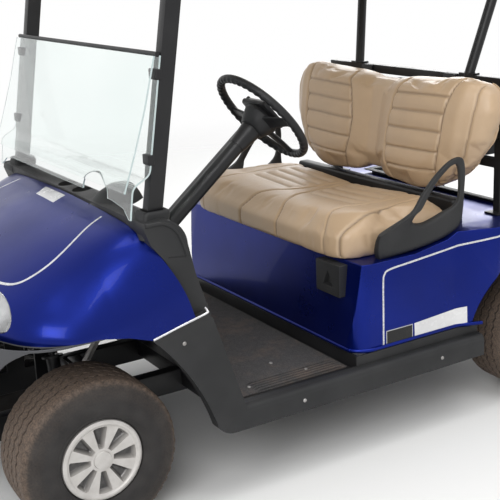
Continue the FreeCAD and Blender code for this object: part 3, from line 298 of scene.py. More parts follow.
def put_vertices(obj, points):
    """Moves a piece's vertices to new places."""
    obj.data.vertices.foreach_set("co", np.asarray(points, float).ravel())
    obj.data.update()


def hermite(t, run, start, end, slope_in, slope_out):
    """Value at a share t of a run between two values, with a slope at each."""
    return ((2 * t ** 3 - 3 * t ** 2 + 1) * start + (t ** 3 - 2 * t ** 2 + t) * run * slope_in
            + (3 * t ** 2 - 2 * t ** 3) * end + (t ** 3 - t ** 2) * run * slope_out)


# Finishes

class Finish:
    """A node material, built up a layer at a time."""

    def __init__(self, name, **levels):
        self.material = bpy.data.materials.new(name)
        self.material.use_nodes = True
        self.nodes = self.material.node_tree.nodes
        self.links = self.material.node_tree.links
        self.shader = self.nodes["Principled BSDF"]
        for key, value in levels.items():
            self.shader.inputs[key.replace("_", " ")].default_value = value
        self.place = self.nodes.new("ShaderNodeTexCoord").outputs["Object"]

    def noise(self, scale, detail=3.0, rough=0.6, stretch=(1, 1, 1)):
        """Cloudy pattern, 0 to 1, with features about 1/scale metres wide."""
        node = self.nodes.new("ShaderNodeTexNoise")
        node.inputs["Scale"].default_value = scale
        node.inputs["Detail"].default_value = detail
        node.inputs["Roughness"].default_value = rough
        turn = self.nodes.new("ShaderNodeMapping")
        turn.inputs["Scale"].default_value = stretch
        self.links.new(self.place, turn.inputs["Vector"])
        self.links.new(turn.outputs[0], node.inputs["Vector"])
        return node.outputs["Fac"]

    def cells(self, scale):
        """Cell pattern: distance to the nearest point."""
        node = self.nodes.new("ShaderNodeTexVoronoi")
        node.inputs["Scale"].default_value = scale
        self.links.new(self.place, node.inputs["Vector"])
        return node.outputs["Distance"]

    def level(self, name):
        """A number stored on the mesh."""
        node = self.nodes.new("ShaderNodeAttribute")
        node.attribute_name = name
        return node.outputs["Fac"]

    def spread(self, value, low, high, start=0.0, end=1.0):
        """The value, remapped from low..high to start..end."""
        node = self.nodes.new("ShaderNodeMapRange")
        node.inputs["From Min"].default_value = low
        node.inputs["From Max"].default_value = high
        node.inputs["To Min"].default_value = start
        node.inputs["To Max"].default_value = end
        self.links.new(value, node.inputs["Value"])
        return node.outputs["Result"]

    def math(self, operation, a, b):
        """Arithmetic on two values or sockets."""
        node = self.nodes.new("ShaderNodeMath")
        node.operation = operation
        for i, value in enumerate((a, b)):
            if isinstance(value, (int, float)):
                node.inputs[i].default_value = value
            else:
                self.links.new(value, node.inputs[i])
        return node.outputs[0]

    def mix(self, share, first, second):
        """Colour between two, by a share."""
        node = self.nodes.new("ShaderNodeMix")
        node.data_type = "RGBA"
        self.links.new(share, node.inputs["Factor"])
        ends = [s for s in node.inputs if s.type == "RGBA"]
        for socket, colour in zip(ends, (first, second)):
            if isinstance(colour, tuple):
                socket.default_value = (*colour[:3], 1.0)
            else:
                self.links.new(colour, socket)
        return [s for s in node.outputs if s.type == "RGBA"][0]

    def colour(self, value):
        """Base colour of the material."""
        self.links.new(value, self.shader.inputs["Base Color"])

    def rough(self, value, low, high):
        """Roughness that varies between two levels."""
        self.links.new(self.spread(value, 0.3, 0.7, low, high), self.shader.inputs["Roughness"])

    def bump(self, height, depth, strength=1.0):
        """Relief of that depth in metres."""
        node = self.nodes.new("ShaderNodeBump")
        node.inputs["Strength"].default_value = strength
        node.inputs["Distance"].default_value = depth
        self.links.new(height, node.inputs["Height"])
        last = self.shader.inputs["Normal"]
        if last.is_linked:
            self.links.new(last.links[0].from_socket, node.inputs["Normal"])
        self.links.new(node.outputs[0], last)


def two_tone(name, first, second, scale, rough, grain, **levels):
    """Common finish: cloudy between two colours, with varied gloss and a fine grain."""
    finish = Finish(name, **levels)
    finish.colour(finish.mix(finish.spread(finish.noise(scale), 0.35, 0.65), first, second))
    finish.rough(finish.noise(scale * 2.3), *rough)
    finish.bump(finish.noise(grain[0], 2.0), grain[1])
    return finish.material


def make_paint(settings):
    """Deep blue metallic paint under clear coat."""
    blue = tuple(settings.paint_colour)
    dark = tuple(c * 0.62 for c in blue)
    finish = Finish("blue_paint", Metallic=0.8, Roughness=0.3, Coat_Weight=0.16,
                    Coat_Roughness=0.03, Coat_IOR=1.4, Specular_IOR_Level=0.3)
    cloud = finish.spread(finish.noise(3.0, 2.0), 0.3, 0.7)
    flake = finish.spread(finish.cells(1400.0), 0.05, 0.75, 0.0, settings.flake)
    tone = finish.mix(cloud, dark, blue)
    light = tuple(min(1.0, c * 1.9 + 0.006) for c in blue)
    finish.colour(finish.mix(flake, tone, light))
    finish.rough(finish.noise(9.0), 0.26, 0.34)
    finish.bump(finish.noise(260.0, 1.0), 0.00002)
    return finish.material


def make_vinyl(settings):
    """Tan vinyl with a fine hide grain, and painted shade that darkens its seams and sewn channels."""
    tan = tuple(settings.vinyl_colour)
    finish = Finish("tan_vinyl", Roughness=0.42, Coat_Weight=0.12, Coat_Roughness=0.3)
    worn = finish.mix(finish.spread(finish.noise(7.0), 0.35, 0.7), tuple(c * 0.93 for c in tan), tan)
    # Painted shade: the seams and channels darken toward a deeper tan by the crease shade level
    seam = finish.mix(finish.level("crease"), worn, tuple(c * 0.42 for c in tan))
    finish.colour(seam)
    finish.rough(finish.noise(14.0), 0.36, 0.48)
    finish.bump(finish.spread(finish.cells(520.0), 0.0, 0.5), 0.00012)
    finish.bump(finish.noise(38.0, 2.0), 0.0009, 0.6)
    return finish.material


def make_cover():
    """Warm silver wheel cover, with painted shade that darkens its pockets where they run deep."""
    finish = Finish("cover_silver", Roughness=0.36, Metallic=0.5, Coat_Weight=0.35, Coat_Roughness=0.2)
    face = finish.mix(finish.spread(finish.noise(24.0), 0.3, 0.7), (0.46, 0.44, 0.42), (0.56, 0.54, 0.52))
    # Painted shade in the pockets, near black where they run deep, a little broken up by noise
    pocket_shade = finish.math("MULTIPLY", finish.spread(finish.noise(60.0, 4.0), 0.3, 0.7, 0.88, 1.0),
                        finish.spread(finish.level("deep"), 0.08, 0.6, 0.0, 0.98))
    finish.colour(finish.mix(pocket_shade, face, (0.022, 0.021, 0.022)))
    finish.rough(finish.noise(45.0), 0.3, 0.45)
    finish.bump(finish.noise(800.0, 2.0), 0.00003)
    return finish.material


def make_tyre(settings):
    """Black rubber, with dry dust on the tread."""
    finish = Finish("tyre_rubber", Roughness=0.75, Specular_IOR_Level=0.3)
    rubber = finish.mix(finish.spread(finish.noise(30.0), 0.3, 0.7),
                        (0.014, 0.014, 0.015), (0.03, 0.029, 0.029))
    grit = finish.spread(finish.noise(190.0, 5.0), 0.35, 0.62, 0.35, 1.0)
    share = finish.math("MULTIPLY", finish.level("dust"), grit)
    share = finish.math("MULTIPLY", share, settings.dust)
    finish.colour(finish.mix(share, rubber, tuple(settings.dust_colour)))
    finish.rough(finish.noise(60.0), 0.62, 0.9)
    finish.bump(finish.noise(420.0, 4.0), 0.0006)
    return finish.material


def make_acrylic():
    """Clear sheet."""
    finish = Finish("clear_acrylic", Roughness=0.02, IOR=1.49, Transmission_Weight=1.0)
    tint = finish.spread(finish.noise(2.0), 0.3, 0.7)
    finish.colour(finish.mix(tint, (0.93, 0.97, 0.96), (0.97, 1.0, 0.99)))
    finish.bump(finish.noise(1.6, 1.0), 0.0006, 0.25)
    return finish.material


def make_acrylic_edge():
    """Sawn edge of the sheet, which glows with the light it carries."""
    finish = Finish("acrylic_edge", Roughness=0.25, IOR=1.49, Transmission_Weight=0.35)
    finish.colour(finish.mix(finish.noise(40.0), (0.62, 0.80, 0.80), (0.86, 0.95, 0.95)))
    finish.bump(finish.noise(900.0, 2.0, 0.6, (1, 1, 0.1)), 0.0001)
    return finish.material


def make_lens(name, first, second, **levels):
    """Clear or tinted lamp lens with fine flutes."""
    finish = Finish(name, **levels)
    finish.colour(finish.mix(finish.noise(30.0), first, second))
    wave = finish.nodes.new("ShaderNodeTexWave")
    wave.bands_direction = "Y"
    wave.inputs["Scale"].default_value = 55.0
    finish.links.new(finish.place, wave.inputs["Vector"])
    finish.bump(wave.outputs["Fac"], 0.0004)
    return finish.material


def make_mat():
    """Dusty black rubber floor mat with a pebbled face, and painted shade in the grooves beside its ridges.
    """
    finish = Finish("floor_mat", Roughness=0.8, Specular_IOR_Level=0.25)
    pebble = finish.spread(finish.cells(260.0), 0.1, 0.6)
    base = finish.mix(pebble, (0.105, 0.100, 0.100), (0.060, 0.058, 0.060))
    dirt = finish.spread(finish.noise(9.0, 8.0, 0.7), 0.48, 0.70, 0.0, 0.6)
    dusty = finish.mix(dirt, base, (0.17, 0.125, 0.10))
    # Painted shade: near black in the grooves along the side ridges
    finish.colour(finish.mix(finish.level("groove"), dusty, (0.012, 0.011, 0.011)))
    finish.rough(finish.noise(40.0), 0.7, 0.92)
    finish.bump(pebble, 0.0011)
    return finish.material


# Filled in by the frame and cowl operators for the ones after them
FINISHES = {}
TREES = {}


def make_finishes(settings):
    """All the finishes, by name."""
    grey = settings.trim_tone
    FINISHES.update({
        "paint": make_paint(settings),
        "vinyl": make_vinyl(settings),
        "tyre": make_tyre(settings),
        "acrylic": make_acrylic(),
        "edge": make_acrylic_edge(),
        "mat": make_mat(),
        "cover": make_cover(),
        "bumper": two_tone("grey_bumper", (0.048, 0.049, 0.054), (0.066, 0.067, 0.073), 5.0,
                           (0.4, 0.52), (1000.0, 0.0002), Specular_IOR_Level=0.3),
        "plastic": two_tone("charcoal_plastic", (grey * 0.8, grey * 0.82, grey * 0.86),
                            (grey * 1.15, grey * 1.16, grey * 1.2), 5.0, (0.44, 0.58), (1100.0, 0.00022),
                            Specular_IOR_Level=0.26),
        "metal": two_tone("black_powder_coat", (0.009, 0.009, 0.01), (0.014, 0.014, 0.015), 6.0,
                          (0.3, 0.42), (500.0, 0.00006), Specular_IOR_Level=0.3),
        "grip": two_tone("grip_rubber", (0.010, 0.010, 0.011), (0.018, 0.018, 0.019), 12.0,
                         (0.4, 0.52), (1600.0, 0.00015), Specular_IOR_Level=0.26),
        "silver": two_tone("silver_plastic", (0.46, 0.455, 0.46), (0.54, 0.535, 0.54), 20.0,
                           (0.3, 0.4), (900.0, 0.00003), Metallic=0.55, Coat_Weight=0.4, Coat_Roughness=0.15),
        "stripe": two_tone("silver_stripe", (0.55, 0.55, 0.57), (0.68, 0.68, 0.70), 30.0,
                           (0.22, 0.34), (900.0, 0.00002), Metallic=0.4),
        "steel": two_tone("bare_steel", (0.26, 0.25, 0.24), (0.40, 0.39, 0.38), 18.0,
                          (0.35, 0.55), (700.0, 0.00006), Metallic=0.9),
        "white": two_tone("white_wheel_paint", (0.60, 0.60, 0.58), (0.72, 0.72, 0.70), 12.0,
                          (0.3, 0.42), (600.0, 0.00003), Coat_Weight=0.3),
        "roof": two_tone("roof_shell", (0.56, 0.51, 0.40), (0.62, 0.57, 0.46), 2.5,
                         (0.34, 0.46), (700.0, 0.00012), Coat_Weight=0.1),
        "battery": two_tone("battery_case", (0.03, 0.03, 0.032), (0.055, 0.055, 0.058), 8.0,
                            (0.5, 0.66), (800.0, 0.0002)),
        "label": two_tone("blank_label", (0.66, 0.66, 0.67), (0.74, 0.74, 0.74), 16.0,
                          (0.22, 0.3), (900.0, 0.00001), Coat_Weight=0.4),
        "plate": two_tone("blank_plate", (0.006, 0.006, 0.007), (0.012, 0.012, 0.012), 16.0,
                          (0.18, 0.28), (900.0, 0.00001), Specular_IOR_Level=0.3),
        "clip": two_tone("grey_clip", (0.20, 0.20, 0.205), (0.27, 0.27, 0.275), 14.0,
                         (0.3, 0.4), (900.0, 0.00003), Coat_Weight=0.2),
        "chrome": two_tone("lamp_reflector", (0.70, 0.70, 0.71), (0.80, 0.80, 0.81), 12.0,
                           (0.08, 0.16), (900.0, 0.00001), Metallic=1.0),
        "lens": make_lens("clear_lens", (0.92, 0.93, 0.93), (0.97, 0.97, 0.97), Roughness=0.03,
                          IOR=1.49, Transmission_Weight=1.0),
        "red": make_lens("red_lens", (0.32, 0.004, 0.004), (0.42, 0.008, 0.006), Roughness=0.12,
                         Coat_Weight=0.6),
    })


# Settings that a user would change

class CartPaint(bpy.types.PropertyGroup):
    """Colours and finishes."""
    paint_colour: FloatVectorProperty(name="Body paint", description="Colour of the painted shells",
                                      subtype="COLOR", size=3, min=0, max=1, default=(0.0015, 0.011, 0.165))
    flake: FloatProperty(name="Flake", description="Brightness of the metal flakes in the paint",
                         subtype="FACTOR", min=0, max=1, default=0.18)
    vinyl_colour: FloatVectorProperty(name="Seat vinyl", description="Colour of the seat covers",
                                      subtype="COLOR", size=3, min=0, max=1, default=(0.50, 0.355, 0.225))
    trim_tone: FloatProperty(name="Trim tone", description="Lightness of the charcoal mouldings",
                             subtype="FACTOR", min=0, max=1, default=0.024)
    dust: FloatProperty(name="Tyre dust", description="How dusty the treads are",
                        subtype="FACTOR", min=0, max=1, default=0.75)
    dust_colour: FloatVectorProperty(name="Dust colour", description="Colour of the dust on the treads",
                                     subtype="COLOR", size=3, min=0, max=1, default=(0.19, 0.135, 0.10))


class CartWheel(bpy.types.PropertyGroup):
    """Detail of the wheels."""
    tread_blocks: IntProperty(name="Tread blocks", description="Zigzags of the tread round a tyre",
                              min=24, max=72, default=48)
    cover_steps: IntProperty(name="Cover steps", description="Steps round a wheel cover's face",
                             min=96, max=480, default=320)


class CartStage(bpy.types.PropertyGroup):
    """Camera, lamps and floor."""
    camera_place: FloatVectorProperty(name="Camera", description="Where the camera stands",
                                      subtype="TRANSLATION", unit="LENGTH", size=3,
                                      default=(1.771, 2.926, 1.541))
    camera_yaw: FloatProperty(name="Yaw", description="Compass direction that the camera looks in",
                              subtype="ANGLE", unit="ROTATION", default=-2.11097)
    camera_pitch: FloatProperty(name="Pitch", description="How far the camera looks down",
                                subtype="ANGLE", unit="ROTATION", default=0.28411)
    camera_roll: FloatProperty(name="Roll", description="Lean of the camera",
                               subtype="ANGLE", unit="ROTATION", default=0.04468)
    lens: FloatProperty(name="Lens", description="Focal length on a 36 mm sensor",
                        unit="CAMERA", min=1, default=74.23)
    key_power: FloatProperty(name="Key lamp", description="Power of the large front lamp",
                             subtype="POWER", unit="POWER", default=165.0)
    top_power: FloatProperty(name="Top lamp", description="Power of the overhead lamp",
                             subtype="POWER", unit="POWER", default=140.0)
    back_power: FloatProperty(name="Back lamp", description="Power of the lamp behind the cart",
                              subtype="POWER", unit="POWER", default=85.0)
    fill: FloatProperty(name="Fill", description="Strength of the even light from all round",
                        min=0, max=2, default=0.5)


# Carried-over CAD pieces by finish and the radius of their corners
FRAME_FINISHES = (
    ("metal", 0.0, "front_suspension rear_axle"),
    ("metal", 0.0015, "rear_springs"),
    ("metal", 0.002, "floor_pan"),
    ("metal", 0.0025, "rear_hoop"),
    ("metal", 0.003, "chassis_rails cross_members steering_column"),
    ("metal", 0.005, "roof_struts"),
    ("plastic", 0.0015, "bag_well basket"),
    ("plastic", 0.002, "charge_receptacle"),
    ("plastic", 0.004, "dash"),
    ("plastic", 0.010, "hip_restraints"),
    ("plastic", 0.012, "sills rear_bumper"),
    ("bumper", 0.0012, "front_fascia"),
    ("battery", 0.006, "battery_pack"),
    ("roof", 0.0015, "canopy"),
    ("red", 0.006, "tail_lights"),
    ("lens", 0.0, "headlights"),
    ("steel", 0.0, "steering_rack knuckle_left knuckle_right tie_rods"),
    ("grip", 0.0, "steering_wheel"),
    ("grip", 0.002, "pedals"),
    ("white", 0.0, "rim_fl rim_fr rim_rl rim_rr"),
    ("tyre", 0.0, "tyre_fl tyre_fr tyre_rl tyre_rr"),
    ("silver", 0.0, "cover_fl cover_fr cover_rl cover_rr"),
    ("paint", 0.0, "cowl"),
    ("paint", 0.006, "rear_body"),
    ("acrylic", 0.0, "windshield_lower windshield_upper"),
    ("vinyl", 0.0, "seat_back seat_cushion"),
)


class CART_OT_frame(bpy.types.Operator):
    """Gives each carried-over CAD piece its finish and softened corners"""
    bl_idname = "cart.frame"
    bl_label = "Frame finishes"

    def execute(self, context):
        make_finishes(context.scene.cart_paint)
        for finish, radius, nodes in FRAME_FINISHES:
            for node in nodes.split():
                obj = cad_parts[node]
                obj.data.materials.clear()
                obj.data.materials.append(FINISHES[finish])
                weld(obj, 0.00001)
                if radius:
                    round_edges(obj, radius)
                else:
                    shade(obj)
        return {"FINISHED"}


TYRE_RADIUS = 0.2286
# Sidewall from the rim out, as distance from the wheel's middle plane and radius
TYRE_WALL = ((0.050, 0.1040), (0.078, 0.1043), (0.0865, 0.1046), (0.0900, 0.1090), (0.0900, 0.1150),
             (0.0890, 0.1205), (0.0955, 0.1215), (0.0975, 0.1235), (0.0990, 0.1260), (0.1035, 0.1330),
             (0.1050, 0.1345), (0.1062, 0.1375), (0.1078, 0.1455), (0.1080, 0.1540), (0.1077, 0.1640),
             (0.1068, 0.1730), (0.1060, 0.1745), (0.1058, 0.1765), (0.1042, 0.1850), (0.1015, 0.1940),
             (0.0996, 0.1990), (0.0982, 0.2030), (0.0955, 0.2120), (0.0925, 0.2185), (0.0890, 0.2225),
             (0.0850, 0.2250), (0.0800, 0.2262))
GROOVES = (-0.048, -0.016, 0.016, 0.048)
GROOVE_DEPTH = 0.0065
ZIGZAG = 0.0075
ZIGZAG_STEPS = 6
NOTCH = 0.0028


def tyre_section():
    """The tyre's section: distance from the middle plane, radius, depth of groove, share in the zigzag."""
    rows = [(-y, r, 0.0, 0) for y, r in TYRE_WALL]
    crown = []
    for groove in GROOVES:
        start = groove - 0.0165
        crown += [(start + 0.0040, 0.0, 0), (start + 0.0128, 0.0, 1), (groove - 0.0026, GROOVE_DEPTH, 1),
                  (groove + 0.0026, GROOVE_DEPTH, 1), (groove + 0.0037, 0.0, 1)]
    crown += [(0.0600, 0.0, 0), (0.0720, 0.0, 0)]
    for y, deep, moved in crown:
        rows.append((y, TYRE_RADIUS - 0.0024 * (abs(y) / 0.08) ** 2, deep, moved))
    return rows + [(y, r, 0.0, 0) for y, r in TYRE_WALL[::-1]]


def tyre_ring(count):
    """Tyre surface points of shape (count, section, 3), outboard along +Y, and their dust levels."""
    rows = tyre_section()
    points = np.zeros((count, len(rows), 3))
    dust = np.zeros((count, len(rows)))
    for i, turn in enumerate(turns(count)):
        step = i % ZIGZAG_STEPS
        sway = (min(step, ZIGZAG_STEPS - step) / (ZIGZAG_STEPS // 2) - 0.5) * ZIGZAG
        for j, (y, r, deep, moved) in enumerate(rows):
            shoulder = 0.2115 < r < 0.2255 and abs(y) > 0.082
            notch = NOTCH if shoulder and step < ZIGZAG_STEPS // 2 else 0.0
            reach = r - deep - notch
            points[i, j] = (reach * math.sin(turn), y + (sway if moved else 0.0), reach * math.cos(turn))
            tread = float(soft_step(0.205, 0.2245, r)) * (0.25 if deep else 1.0)
            dust[i, j] = max(tread * (0.75 if notch else 1.0), 0.16 * float(soft_step(0.15, 0.20, r)), 0.05)
    return points, dust


# Wheel cover's face between its pockets, as radius and distance from the wheel's middle plane
COVER_PROFILE = ((0.0, 0.0980), (0.0225, 0.0978), (0.0250, 0.0968), (0.0262, 0.0925), (0.0330, 0.0915),
                 (0.0985, 0.0950), (0.1015, 0.0962), (0.1045, 0.0990), (0.1105, 0.0988), (0.1165, 0.0958),
                 (0.1175, 0.0900))
COVER_LIP = ((0.1165, 0.0885), (0.1060, 0.0868), (0.0960, 0.0860))
COVER_SPOKES = 8
POCKET_SHARE = 0.268
POCKET_INNER = 0.0335
POCKET_OUTER = 0.0975
POCKET_CORNER = 0.0042
POCKET_DEPTH = 0.0195


def cover_face(radius, turn):
    """Distance of a wheel cover's face from the wheel's middle plane, and how deep in a pocket it lies."""
    face = np.interp(radius, [p[0] for p in COVER_PROFILE], [p[1] for p in COVER_PROFILE])
    pitch = 2 * math.pi / COVER_SPOKES
    off = abs((turn + pitch / 2) % pitch - pitch / 2)
    side = (pitch * POCKET_SHARE - off) * radius
    near = min(radius - POCKET_INNER, POCKET_OUTER - radius)
    if side < POCKET_CORNER and near < POCKET_CORNER:
        gap = POCKET_CORNER - math.hypot(POCKET_CORNER - side, POCKET_CORNER - near)
    else:
        gap = min(side, near)
    depth = POCKET_DEPTH * (1 - (1 - float(np.clip(gap / 0.0135, 0, 1))) ** 3.6)
    return face - depth, float(np.clip(gap / 0.012, 0, 1))


def cover_ring(count):
    """Wheel cover surface points of shape (count, rings, 3), and how deep in a pocket each lies."""
    rings = list(np.linspace(0.0006, 0.0245, 5)) + list(np.linspace(0.0252, 0.0335, 6))
    rings += list(np.linspace(0.0347, 0.0980, 44)) + list(np.linspace(0.0990, 0.1175, 13))
    points = np.zeros((count, len(rings) + len(COVER_LIP), 3))
    deep = np.zeros(points.shape[:2])
    for i, turn in enumerate(turns(count)):
        for j, radius in enumerate(rings):
            out, deep[i, j] = cover_face(radius, turn)
            points[i, j] = (radius * math.sin(turn), out, radius * math.cos(turn))
        for j, (radius, out) in enumerate(COVER_LIP, len(rings)):
            points[i, j] = (radius * math.sin(turn), out, radius * math.cos(turn))
    return points, deep


class CART_OT_wheels(bpy.types.Operator):
    """Builds the four tyres with their tread, and the four spoked wheel covers"""
    bl_idname = "cart.wheels"
    bl_label = "Tyres and wheel covers"

    def execute(self, context):
        wheel = context.scene.cart_wheel
        tyre_points, dust = tyre_ring(wheel.tread_blocks * ZIGZAG_STEPS)
        cover_points, deep = cover_ring(wheel.cover_steps)
        for corner, side in CORNERS:
            body = "wheel_" + corner
            flip = np.array([1.0, side, 1.0])
            base = np.array(middle_of("tyre_" + corner))
            tyre = turn_out(add_grid("tyre_" + corner + "_tread", tyre_points * flip + base, FINISHES["tyre"],
                                     body, wrap_rows=True, wrap_columns=True))
            set_level(tyre, "dust", dust.ravel())
            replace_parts(shade(tyre), "tyre_" + corner)
            cover = add_grid("cover_" + corner + "_face", cover_points * flip + base, FINISHES["cover"],
                             body, wrap_rows=True)
            turn_out(cover, Vector((0.0, side, 0.0)))
            # The depth level drives the painted shade in the cover's pockets
            set_level(cover, "deep", deep.ravel())
            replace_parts(shade(cover), "cover_" + corner)
        return {"FINISHED"}


# Cowl sections: x, side height, arc middle (y, z), shoulder (y, z), crown height
COWL_STATIONS = np.array((
    (0.400, 0.700, 0.568, 0.824, 0.482, 0.896, 0.912),
    (0.500, 0.680, 0.569, 0.832, 0.505, 0.880, 0.893),
    (0.700, 0.632, 0.564, 0.766, 0.476, 0.830, 0.850),
    (0.860, 0.585, 0.552, 0.685, 0.405, 0.760, 0.794),
    (1.000, 0.560, 0.530, 0.630, 0.330, 0.700, 0.722),
    (1.180, 0.520, 0.420, 0.560, 0.200, 0.586, 0.594),
))
COWL_REAR_EDGE = ((0.676, 0.900), (0.670, 0.845), (0.656, 0.806), (0.618, 0.756), (0.592, 0.710),
                  (0.570, 0.657), (0.548, 0.586))
COWL_LOWER_EDGE = ((0.548, 0.586), (0.681, 0.551), (0.746, 0.574), (0.830, 0.590), (1.250, 0.590))
COWL_HALF = 0.585
COWL_NOSE_X = 1.126
COWL_CORNER_X = 0.843
COWL_CORNER_R = 0.200
COWL_NOSE_R = 1.134
COWL_WALL = 0.004
# How far the rolled edge reaches down the side and in over the top
COWL_ROLL = 0.045
COWL_OVER = 0.055
# Points of a row up the side, over the edge and across the top
COWL_ROW = (12, 9, 40)
COWL_SIDE_ROWS = 40
COWL_NOSE_ROWS = 48
COWL_EASING = 26


def cowl_section(x):
    """The section's six heights and breadths at a place along the cart, smooth between stations."""
    xs = COWL_STATIONS[:, 0]
    i = int(np.clip(np.searchsorted(xs, x) - 1, 0, len(xs) - 2))
    t = (x - xs[i]) / (xs[i + 1] - xs[i])
    run = xs[i + 1] - xs[i]
    start, end = COWL_STATIONS[i, 1:], COWL_STATIONS[i + 1, 1:]
    flat = (end - start) / run
    slope_in = flat if i == 0 else (flat + (start - COWL_STATIONS[i - 1, 1:]) / (xs[i] - xs[i - 1])) / 2
    if i == len(xs) - 2:
        slope_out = flat
    else:
        slope_out = (flat + (COWL_STATIONS[i + 2, 1:] - end) / (xs[i + 2] - xs[i + 1])) / 2
    return hermite(t, run, start, end, slope_in, slope_out)


def cowl_height(x, y):
    """Height of the cowl's top skin over a point."""
    side_z, mid_y, mid_z, shoulder_y, shoulder_z, crown = cowl_section(x)
    ys = (0.0, shoulder_y * 0.5, shoulder_y, mid_y, 0.605)
    zs = (crown, crown - (crown - shoulder_z) * 0.25, shoulder_z, mid_z, side_z)
    y = min(abs(y), ys[-1])
    i = 0
    while i < 3 and y > ys[i + 1]:
        i += 1
    run = ys[i + 1] - ys[i]
    slopes = [0.0]
    for k in (1, 2, 3):
        first = (zs[k] - zs[k - 1]) / (ys[k] - ys[k - 1])
        second = (zs[k + 1] - zs[k]) / (ys[k + 1] - ys[k])
        slopes.append(2 * first * second / (first + second) if first * second > 0 else 0.0)
    slopes.append(slopes[3] * 1.5)
    return hermite((y - ys[i]) / run, run, zs[i], zs[i + 1], slopes[i], slopes[i + 1])


def cowl_plan(count):
    """Points of the left half of the nose's plan, from the corner arc's start to the centre line."""
    cy = COWL_HALF - COWL_CORNER_R
    nose_centre = COWL_NOSE_X - COWL_NOSE_R
    turn = math.atan2(cy, COWL_CORNER_X - nose_centre)
    corner_length = (math.pi / 2 - turn) * COWL_CORNER_R
    nose_length = turn * COWL_NOSE_R
    points = []
    for k in range(count + 1):
        run = (corner_length + nose_length) * k / count
        if run < corner_length:
            a = math.pi / 2 - run / COWL_CORNER_R
            points.append((COWL_CORNER_X + COWL_CORNER_R * math.cos(a), cy + COWL_CORNER_R * math.sin(a)))
        else:
            a = turn - (run - corner_length) / COWL_NOSE_R
            points.append((nose_centre + COWL_NOSE_R * math.cos(a), COWL_NOSE_R * math.sin(a)))
    return points


def cowl_rear_x(z):
    """Where the cowl's rear edge lies at a height."""
    edge = sorted((b, a) for a, b in COWL_REAR_EDGE)
    return float(np.interp(z, [e[0] for e in edge], [e[1] for e in edge]))


def cowl_row(edge_point, inward_to, low, shift):
    """One strip of the cowl from its lower edge up the side, over the edge and in to its middle.

    shift gives the place along the cart of a point from its nominal x and its height.
    """
    ex, ey = edge_point
    edge_z = cowl_height(shift(ex, 0.70), ey)
    for _ in range(3):
        edge_z = cowl_height(shift(ex, edge_z), ey)
    roll = min(COWL_ROLL, 0.55 * (edge_z - low))
    row = []
    for t in np.linspace(0, 1, COWL_ROW[0]):
        z = low + (edge_z - roll - low) * t
        row.append((shift(ex, z), ey, z))
    ix, iy = inward_to
    reach = math.hypot(ix - ex, iy - ey)
    over_share = COWL_OVER / reach
    ox, oy = ex + (ix - ex) * over_share, ey + (iy - ey) * over_share
    over_z = cowl_height(shift(ox, edge_z), oy)
    start = np.array(row[-1])
    corner = np.array((shift(ex, edge_z), ey, edge_z))
    end = np.array((shift(ox, over_z), oy, over_z))
    for t in np.linspace(0, 1, COWL_ROW[1])[1:]:
        row.append(tuple((1 - t) ** 2 * start + 2 * t * (1 - t) * corner + t * t * end))
    for t in np.linspace(0, 1, COWL_ROW[2])[1:]:
        share = over_share + (1 - over_share) * (1 - (1 - t) ** 1.15)
        x, y = ex + (ix - ex) * share, ey + (iy - ey) * share
        z = cowl_height(x, y)
        for _ in range(2):
            z = cowl_height(shift(x, z), y)
        row.append((shift(x, z), y, z))
    return row


def cowl_grid():
    """The whole cowl as rows from its left rear edge round the nose to its right rear edge."""
    lower_x = [p[0] for p in COWL_LOWER_EDGE]
    lower_z = [p[1] for p in COWL_LOWER_EDGE]
    rows = []
    for k in range(COWL_SIDE_ROWS):
        u = k / COWL_SIDE_ROWS

        def shift(_, z, u=u):
            rear = cowl_rear_x(z)
            return rear + u * (COWL_CORNER_X - rear)
        low_x = COWL_REAR_EDGE[-1][0] + u * (COWL_CORNER_X - COWL_REAR_EDGE[-1][0])
        low = float(np.interp(low_x, lower_x, lower_z))
        rows.append(cowl_row((low_x, COWL_HALF), (low_x, 0.0), low, shift))
    for x, y in cowl_plan(COWL_NOSE_ROWS):
        rows.append(cowl_row((x, y), (COWL_CORNER_X, 0.0), float(np.interp(x, lower_x, lower_z)),
                             lambda a, z: a))
    left = np.array(rows)
    place = np.arange(left.shape[1])
    ease = (soft_step(3, 9, place) * soft_step(44, 30, place) * 0.5)[1:-1, None]
    for _ in range(COWL_EASING):
        left[:, 1:-1] += ((left[:, :-2] + left[:, 2:]) / 2 - left[:, 1:-1]) * ease
    right = left[-2::-1] * np.array([1.0, -1.0, 1.0])
    return np.concatenate([left, right])


LAMP_MIDDLE = (0.900, 0.335, 0.652)
LAMP_HALF = (0.095, 0.038)
LAMP_TILT = math.radians(-14)
LAMP_SWING = math.radians(12)
LAMP_WAY = Vector((math.cos(LAMP_SWING), math.sin(LAMP_SWING), 0.0))
LAMP_RINGS = 12


def lamp_outline(grow, count=48):
    """Points round the left headlamp's slanted oval, in a plane across the cart's nose."""
    points = []
    for a in turns(count):
        y = (LAMP_HALF[0] + grow) * math.cos(a)
        z = (LAMP_HALF[1] + grow) * math.sin(a)
        y, z = (y * math.cos(LAMP_TILT) - z * math.sin(LAMP_TILT),
                y * math.sin(LAMP_TILT) + z * math.cos(LAMP_TILT))
        points.append(Vector((LAMP_MIDDLE[0] - y * math.sin(LAMP_SWING),
                              LAMP_MIDDLE[1] + y * math.cos(LAMP_SWING), LAMP_MIDDLE[2] + z)))
    return points


def skin_tree(obj):
    """Search tree of a piece's finished surface."""
    return BVHTree.FromObject(obj, bpy.context.evaluated_depsgraph_get())


